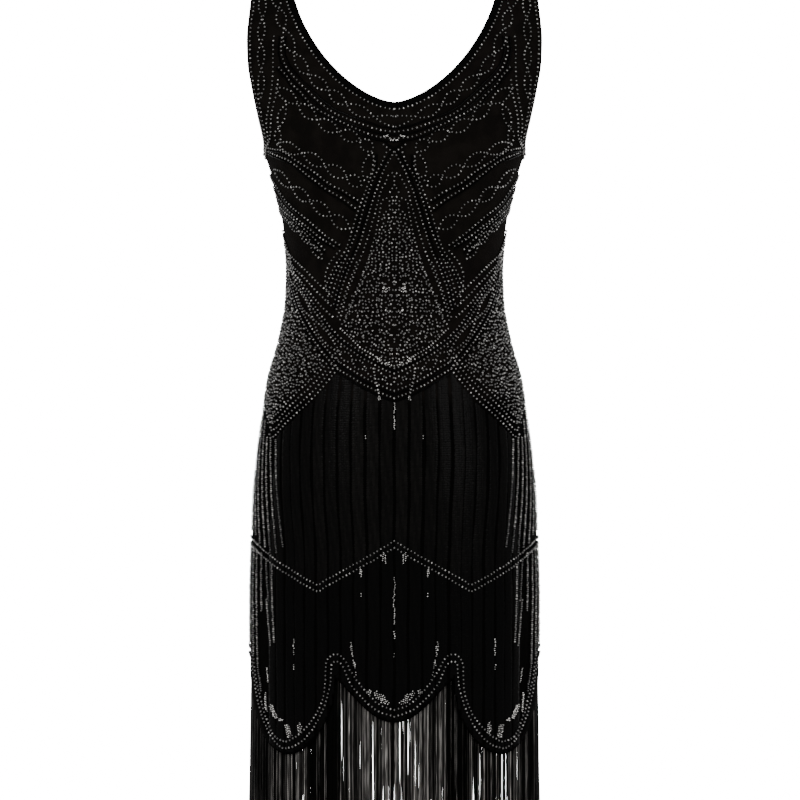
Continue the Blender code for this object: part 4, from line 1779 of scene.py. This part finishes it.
@dataclass
class Beadwork:
    """All the beads and sequins of one side."""

    form: DressForm
    side: Side
    shapes: BeadShapes
    bead_lift: float = 0.0011
    unevenness: float = 0.00018
    shoulder_room: float = 0.0020
    own_neck: tuple[float, float] = (-0.42, 0.20)
    edge_end: float = 88.5
    edge_steps: int = 160
    neck_row: float = 0.0081
    neck_glint: float = 0.24
    arm_row: float = 0.0060
    underarm_row: float = 0.0108
    underarm_stretch: tuple[int, int] = (3, 55)
    # Painted sparkle in the beads' colour: the dullest share and how far a few go above it.
    dullest: float = 0.45
    sparkle: float = 1.7
    sparkle_power: float = 4
    fill_pitch: float = 0.0045
    fill_closeness: float = 0.87
    fill_stray: float = 0.22
    fill_size: float = 1.08
    fill_left_out: float = 0.06
    fill_glint: float = 0.18
    fill_top: float = 0.031
    fill_room: float = 0.005
    drop_room: float = 0.004
    drop_turns: tuple[float, float] = (0.8, 27.0)
    hip_start: float = 35.0
    hip_gap: float = 1.2
    hip_end: float = 89.8
    bugle_pitch: float = 0.0049
    bugle_glint: float = 0.1
    # The glimmers, silver strings painted in as highlights.
    glimmer_pitch: float = 0.0020
    glimmer_apart: float = 0.74
    glimmer_size: float = 0.60
    glimmer_wander: float = 0.00028
    glimmer_places: int = 12
    glimmer_step: float = 0.0010
    glimmer_uneven: float = 0.0030
    glimmer_least: float = 0.003
    glimmer_spread: tuple[float, float] = (0.3, 1.3)
    bands: int = 36
    band_width: float = 6.25
    narrowing: tuple[float, float, float] = (-0.55, -0.75, 0.86)
    band_shift: float = 0.22
    band_sway: float = 0.16
    sway_waves: float = 62.0
    side_turn: float = 58.5
    # Painted sheen on the bands, and their darker colour below the zigzag.
    lit_turn: float = 38.0
    lit_power: float = 6
    dull_glint: float = 0.10
    band_glint: tuple[float, float] = (0.22, 0.26)
    streak: float = 0.30
    streak_waves: tuple[float, float, float] = (105.0, 3.0, 1.9)
    band_tones: tuple[float, float] = (0.75, 1.25)
    sequin_tones: tuple[float, float] = (0.8, 1.2)
    band_columns: tuple[float, ...] = (-1.80, -0.60, 0.60, 1.80)
    band_roundness: float = 2.0
    highest_band: float = -0.440
    lowest_band: float = -0.965
    band_room: float = 0.005
    hem_room: float = 0.004
    sequin_lift: float = 0.0006
    sequin_pitch: float = 0.0027
    sequin_stray: tuple[float, float] = (0.05, 0.00025)
    tilt: float = 1.3
    bead_spread: tuple[float, float] = (0.90, 1.10)
    black_spread: tuple[float, float] = (0.95, 1.05)
    seed: int = 5
    first_sewing_seed: int = 11

    def __post_init__(self) -> None:
        """Starts the random draws and the plan of the black bugles."""
        self.random = np.random.default_rng(self.seed + self.side.value)
        self.bugles = Plan()

    def shifted(self, knots: Knots) -> Knots:
        """Moves a chart's knots up to this side's own neckline, less and less towards the waist.

        Args:
            knots: The knots as drawn for the front.

        Returns:
            The knots for this side.
        """
        rise = self.form.neck_bottom[self.side] - self.form.neck_bottom[FRONT]
        lowest, reach = self.own_neck
        moved = []
        for turn, height in knots:
            share = min(max((height - lowest) / reach, 0.0), 1.0) * max(math.cos(math.radians(turn)), 0.0)
            moved.append((turn, height + rise * share))
        return tuple(moved)

    def heights_of(self, knots: Knots) -> Eased:
        """A line's height at any turn, if each of its knots is at a turn of its own."""
        return Eased(*zip(*self.shifted(knots)))

    def shine(self, count: int, glint: float) -> Array:
        """Painted sparkle: how light each of some beads' colour is, most dull and a few lighter as if they
        caught the light.
        """
        sparkle = self.sparkle * self.random.uniform(0.0, 1.0, count) ** self.sparkle_power
        return np.clip(glint * (self.dullest + sparkle), 0.0, 1.0)

    def lay(
        self, plan: Plan, line: Places, pitch: float, glint: float, size: float = 1.0, wander: float = 0.0
    ) -> None:
        """Lays beads along a line.

        Args:
            plan: The plan that they are added to.
            line: The line.
            pitch: Distance between beads.
            glint: How light they are on the whole.
            size: How large they are, as a share of the usual.
            wander: How far they stray from the line.
        """
        form = self.form
        spots = form.resampled(line, pitch)
        spots = spots[spots.heights < form.shoulder_line(form.out(spots)) - self.shoulder_room]
        count = len(spots.turns)
        if count > 1:
            normals = form.normals(spots)
            points = form.points(spots) + normals * self.bead_lift
            points += self.random.normal(0.0, self.unevenness, points.shape)
            along = level(unit(np.gradient(points, axis=0)), normals)
            points[:, 0] += self.random.normal(0.0, wander, count)
            plan.put(points, along, normals, size, self.shine(count, glint))

    def trim(self, plan: Plan, trim: Trim) -> None:
        """Lays one line of the chart on both halves.

        Args:
            plan: The plan that its beads are added to.
            trim: The line.
        """
        form = self.form
        line, ends = form.drawn(self.side, self.shifted(trim.knots))
        strands = [line]
        if trim.stitch is Stitch.CHAIN:
            numbers = np.arange(len(trim.knots), dtype=float)
            if trim.opens_midway:
                numbers[0] = 0.5
            phase = np.interp(form.lengths(line), form.lengths(ends), numbers)
            swing = trim.half_width * np.sin(np.pi * phase)
            strands = [form.offset(line, way * swing) for way in (1, -1)]
        for strand in strands:
            for half in strand.both():
                self.lay(plan, half, trim.pitch, trim.glint)
        for distance in trim.bugles:
            for half in form.offset(line, distance).both():
                self.lay(self.bugles, half, self.bugle_pitch, self.bugle_glint)

    def edge_rows(self, plan: Plan) -> None:
        """Lays the rows that follow the neckline and the armholes.

        Args:
            plan: The plan that the beads are added to.
        """
        form, side = self.form, self.side
        neck = form.evenly(side, form.neckline, 0, self.edge_end, self.edge_steps)
        arm = form.evenly(side, form.armhole, 1.0, self.edge_end, self.edge_steps)
        for edge, distance, stretch, glint in (
            (neck, -self.neck_row, slice(None), self.neck_glint),
            (arm, self.arm_row, slice(None), Trim.glint),
            (arm, self.underarm_row, slice(*self.underarm_stretch), Trim.glint),
        ):
            for half in form.offset(edge, distance)[stretch].both():
                self.lay(plan, half, Trim.pitch, glint)

    def filled(self, plan: Plan, upper: Callable, lower: Callable, turns: tuple[float, float]) -> None:
        """Fills the room between two lines with beads that nearly touch.

        Args:
            plan: The plan that the beads are added to.
            upper: Height of the upper line at a turn.
            lower: Height of the lower line at a turn.
            turns: Where the room starts and ends.
        """
        form, pitch = self.form, self.fill_pitch
        turn, number, spots = turns[0], 0, []
        while turn < turns[1]:
            top, bottom = float(upper(turn)), float(lower(turn))
            start = bottom + 0.5 * pitch * (number % 2)
            spots += [(turn, height) for height in np.arange(start, top, pitch)]
            middle = Places(self.side, np.array(turn), np.array(0.5 * (top + bottom)))
            across = form.slopes(form.smooth, middle)[0]
            turn += self.fill_closeness * pitch / float(np.linalg.norm(across))
            number += 1
        turns, heights = np.array(spots).T
        kept = self.random.uniform(0.0, 1.0, len(turns)) > self.fill_left_out
        heights = heights + self.random.normal(0.0, self.fill_stray * pitch, len(turns))
        slide = self.random.normal(0.0, self.fill_stray * pitch, len(turns))[kept]
        for half, way in zip(Places(self.side, turns, heights)[kept].both(), (1, -1)):
            normals = form.normals(half)
            across = level(form.sideways(half), normals)
            points = form.points(half) + normals * self.bead_lift
            points += across * (way * slide)[:, None]
            angle = self.random.uniform(0.0, math.tau, len(slide))[:, None]
            along = across * np.cos(angle) + np.cross(normals, across) * np.sin(angle)
            plan.put(points, along, normals, self.fill_size, self.shine(len(slide), self.fill_glint))

    def teardrop(self, plan: Plan) -> None:
        """Fills the teardrop in the middle of the bodice."""
        top, foot, room = self.heights_of(TEARDROP_TOP), self.heights_of(TEARDROP_FOOT), self.drop_room
        self.filled(plan, lambda t: top(t) + room, lambda t: foot(t) + room, self.drop_turns)

    def hips(self, plan: Plan) -> None:
        """Fills the triangles over the hips, between the belt and the hip rows.

        Args:
            plan: The plan that the beads are added to.
        """
        belt, hip, side = (self.heights_of(knots) for knots in (BELT, HIP, HIP_SIDE))
        corner = HIP[-1][0]

        def upper(turn: float) -> Array:
            """Height of the triangles' upper edge."""
            return belt(turn) - self.fill_room

        self.filled(plan, upper, lambda t: hip(t) + self.fill_top, (self.hip_start, corner))
        self.filled(plan, upper, side, (corner + self.hip_gap, self.hip_end))

    def glimmers(self, plan: Plan) -> None:
        """Lays the short silver strings, painted highlights where the black beadwork would glint.

        Args:
            plan: The plan that the beads are added to.
        """
        for spot in GLIMMERS:
            for string in range(spot.strings):
                aside = string - (spot.strings - 1) / 2
                turn, short = spot.turn + aside * self.glimmer_apart, self.glimmer_step * abs(aside)
                short += self.random.uniform(0.0, self.glimmer_uneven) if spot.strings > 1 else 0.0
                bottom = min(spot.bottom + short, spot.top - self.glimmer_least)
                (_, top), (_, bottom) = self.shifted(((turn, spot.top - short), (turn, bottom)))
                turns = turn + np.linspace(0.0, spot.lean, self.glimmer_places)
                line = Places(self.side, turns, np.linspace(top, bottom, self.glimmer_places))
                for half in line.both() if spot.turn else [line]:
                    glint = spot.glint * self.random.uniform(*self.glimmer_spread)
                    size, wander = self.glimmer_size, self.glimmer_wander
                    self.lay(plan, half, self.glimmer_pitch, glint, size, wander)

    def skirt_top(self, around: Array) -> Array:
        """Heights at which the skirt's bands start, by how far round the body they are."""
        middle, hip, side = (self.heights_of(knots)(around) for knots in (BELT, HIP, HIP_SIDE))
        return np.where(around < HIP[0][0], middle, np.where(around < HIP[-1][0], hip, side))

    def strings(self) -> Plan:
        """The rounded bands of flat black sequins that run down the skirt, with a painted sheen in their
        colour.

        Returns:
            Their plan.
        """
        form, side, random, plan = self.form, self.side, self.random, Plan()
        zigzag = self.heights_of(ZIGZAG)
        start, end, share = self.narrowing
        turn_stray, height_stray = self.sequin_stray
        for band in range(self.bands):
            middle = (band + 0.5 - self.bands / 2) * self.band_width
            middle += random.normal(0.0, self.band_shift)
            phase = random.uniform(0.0, math.tau)
            tone = random.uniform(*self.band_tones)
            for column in self.band_columns:
                heights = np.arange(self.highest_band, self.lowest_band, -self.sequin_pitch)
                heights = heights + random.normal(0.0, height_stray, len(heights))
                rise = np.clip((heights - end) / (start - end), 0.0, 1.0)
                narrowed = share + (1 - share) * rise * rise * (3 - 2 * rise)
                turns = (middle + column) * narrowed + random.normal(0.0, turn_stray, len(heights))
                turns += self.band_sway * np.sin(heights * self.sway_waves + phase)
                around = np.minimum(np.abs(turns), 90.0)
                below_top = heights < self.skirt_top(around) - self.band_room
                above_hem = heights > form.hem(side, around).heights + self.hem_room
                kept = below_top & above_hem & (around < self.side_turn)
                at, around, rise = Places(side, turns, heights)[kept], around[kept], rise[kept]
                count = len(around)
                if count:
                    normals = form.normals(at)
                    points = form.points(at) + normals * self.sequin_lift
                    across = form.sideways(at)
                    upright = unit(np.cross(normals, across))
                    lean = random.normal(0.0, self.tilt, (count, 2))
                    lean[:, 0] += self.band_roundness * column
                    lean = np.tan(np.radians(lean))
                    facing = unit(normals + across * lean[:, :1] + upright * lean[:, 1:])
                    # Painted sheen: bands are lighter towards the middle of the front and higher up, where
                    # they face the lamps; below the zigzag they are darker.
                    lit = np.exp(-((around / self.lit_turn) ** self.lit_power)) * rise**0.5
                    least, more = self.band_glint
                    above = at.heights > zigzag(around) - self.hem_room
                    glint = tone * np.where(above, least + more * lit, self.dull_glint)
                    down, later, aside = self.streak_waves
                    streak = 1 + self.streak * np.sin(at.heights * down + later * phase + aside * column)
                    glint = glint * streak * random.uniform(*self.sequin_tones, count)
                    plan.put(points, level(across, facing), facing, 1.0, glint)
        return plan

    def build(self) -> list[Object]:
        """Sews on everything.

        Returns:
            The side's beaded pieces.
        """
        bodice, belt, skirt = Plan(), Plan(), Plan()
        self.edge_rows(bodice)
        for trim in BODICE_TRIMS:
            self.trim(bodice, trim)
        self.teardrop(bodice)
        for trim in BELT_TRIMS:
            self.trim(belt, trim)
        self.hips(belt)
        for trim in SKIRT_TRIMS:
            self.trim(skirt, trim)
        self.glimmers(skirt)
        bead, silver = self.shapes.bead(), (Slot.SILVER, self.bead_spread)
        black = (Slot.BLACK, self.black_spread)
        made = []
        for seed, (name, plan, part, (slot, spread)) in enumerate(
            (
                ("beads_bodice", bodice, bead, silver),
                ("beads_belt", belt, bead, silver),
                ("beads_skirt", skirt, bead, silver),
                ("sequin_bands", self.strings(), self.shapes.sequin(), black),
                ("bugle_rows", self.bugles, self.shapes.bugle(), black),
            ),
            self.first_sewing_seed,
        ):
            made.append(finished(plan.sewn(f"{name}_{self.side.label}", part, slot, spread, seed), slot))
        return made


# ------------------------------------------------------------------------------------------- stage


@dataclass
class Studio:
    """The floor, the white screen, the lights and the camera."""

    camera_at: tuple[float, float, float] = (0.0066, -5.0, -0.54)
    lens: float = 187.5
    sensor: float = 36.0
    floor_height: float = -1.42
    floor_radius: float = 2.6
    floor_corners: int = 96
    floor_tone: float = 0.85
    screen_distance: float = 9.5
    screen_size: float = 3.05
    screen_tone: float = 0.9
    screen_strength: float = 16.0
    world_strength: float = 1.0
    wing_size: float = 4.0
    wing_radiance: float = 2.0
    aim: tuple[float, float, float] = (0.0, 0.0, -0.5)

    def plain(self, name: str, tone: float, glow: float) -> bpy.types.Material:
        """A plain pale finish for the stage.

        Args:
            name: Its name.
            tone: How light it is.
            glow: How strongly it glows.

        Returns:
            The material.
        """
        material = bpy.data.materials.new(name)
        material.use_nodes = True
        shader = material.node_tree.nodes["Principled BSDF"]
        for entry, value in {
            "Base Color": (tone, tone, tone, 1.0),
            "Roughness": 0.9,
            "Specular IOR Level": 0.1,
            "Emission Color": (1.0, 1.0, 1.0, 1.0),
            "Emission Strength": glow,
        }.items():
            shader.inputs[entry].default_value = value
        return material

    def surroundings(self) -> None:
        """Sets up the floor, the screen behind the dress and the even light all round."""
        add = bpy.ops.mesh
        add.primitive_circle_add(
            vertices=self.floor_corners, radius=self.floor_radius, fill_type="NGON",
            location=(0, 0, self.floor_height),
        )
        floor = bpy.context.object
        floor.name = "studio_floor"
        floor.data.materials.append(self.plain("pale_floor", self.floor_tone, 0.0))
        behind = (0.0, self.screen_distance, self.camera_at[2])
        add.primitive_plane_add(size=self.screen_size, location=behind, rotation=(math.pi / 2, 0.0, 0.0))
        screen = bpy.context.object
        screen.name = "studio_screen"
        screen.data.materials.append(self.plain("white_screen", self.screen_tone, self.screen_strength))
        world = bpy.data.worlds.new("studio")
        world.use_nodes = True
        background = world.node_tree.nodes["Background"]
        background.inputs["Color"].default_value = (1.0, 1.0, 1.0, 1.0)
        background.inputs["Strength"].default_value = self.world_strength
        bpy.context.scene.world = world

    def softbox(self, name: str, place: tuple[float, float, float], size: float, power: float) -> None:
        """Sets up a square soft light that faces the dress.

        Args:
            name: Its name.
            place: Where it stands.
            size: Length of its side.
            power: Its power in watts.
        """
        light = bpy.data.lights.new(name, "AREA")
        light.shape, light.size, light.energy = "SQUARE", size, power
        x, y, z = np.array(self.aim) - np.array(place)
        tilt, turn = math.atan2(math.hypot(x, y), -z), math.atan2(y, x) - math.pi / 2
        self.stand(name, light, place, (tilt, 0.0, turn))

    def stand(self, name: str, data: bpy.types.ID, place: tuple, facing: tuple) -> Object:
        """Puts a light or a camera on the stage.

        Args:
            name: Its name.
            data: The light or the camera.
            place: Where it stands.
            facing: How it is turned.

        Returns:
            Its object.
        """
        made = bpy.data.objects.new(name, data)
        made.location, made.rotation_euler = place, facing
        bpy.context.scene.collection.objects.link(made)
        return made

    def build(self) -> None:
        """Sets up the whole stage."""
        self.surroundings()
        wing_power = self.wing_radiance * math.pi * self.wing_size**2
        for name, place, size, power in (
            ("key", (-1.6, -2.6, 0.9), 1.2, 38.0),
            ("fill", (1.9, -2.2, 0.4), 1.4, 24.0),
            ("left_wing", (-5.2, 4.4, -0.5), self.wing_size, wing_power),
            ("right_wing", (5.2, 4.4, -0.5), self.wing_size, wing_power),
        ):
            self.softbox(name, place, size, power)
        data = bpy.data.cameras.new("camera")
        data.lens, data.sensor_width = self.lens, self.sensor
        camera = self.stand("camera", data, self.camera_at, (math.pi / 2, 0.0, 0.0))
        bpy.context.scene.camera = camera


MATERIALS = {slot: finish.material() for slot, finish in FINISHES.items()}
SEWING = SewingTree().build()


def declare_cloth(panel: NetPanel, cloth: Object) -> None:
    """States the flat cut of one side's net.

    Args:
        panel: The panel.
        cloth: Its piece.
    """
    width, length, area = panel.cut()
    LOG.info("%s is cut %.3f by %.3f m, %.4f square metres", cloth.name, width, length, area)


def main() -> None:
    """Builds the dress, then the stage."""
    logging.basicConfig(level=logging.INFO, format="%(message)s")
    form = DressForm()
    for side in Side:
        panel = NetPanel(form, side)
        cloth = panel.build()
        going = [NeckBinding(form, side).build()]
        going += Fringe(form, side).build()
        going += Beadwork(form, side, BeadShapes()).build()
        declare_cloth(panel, cloth)
    SeamTapes(form).build()
    Studio().build()


if __name__ == "__main__":
    main()
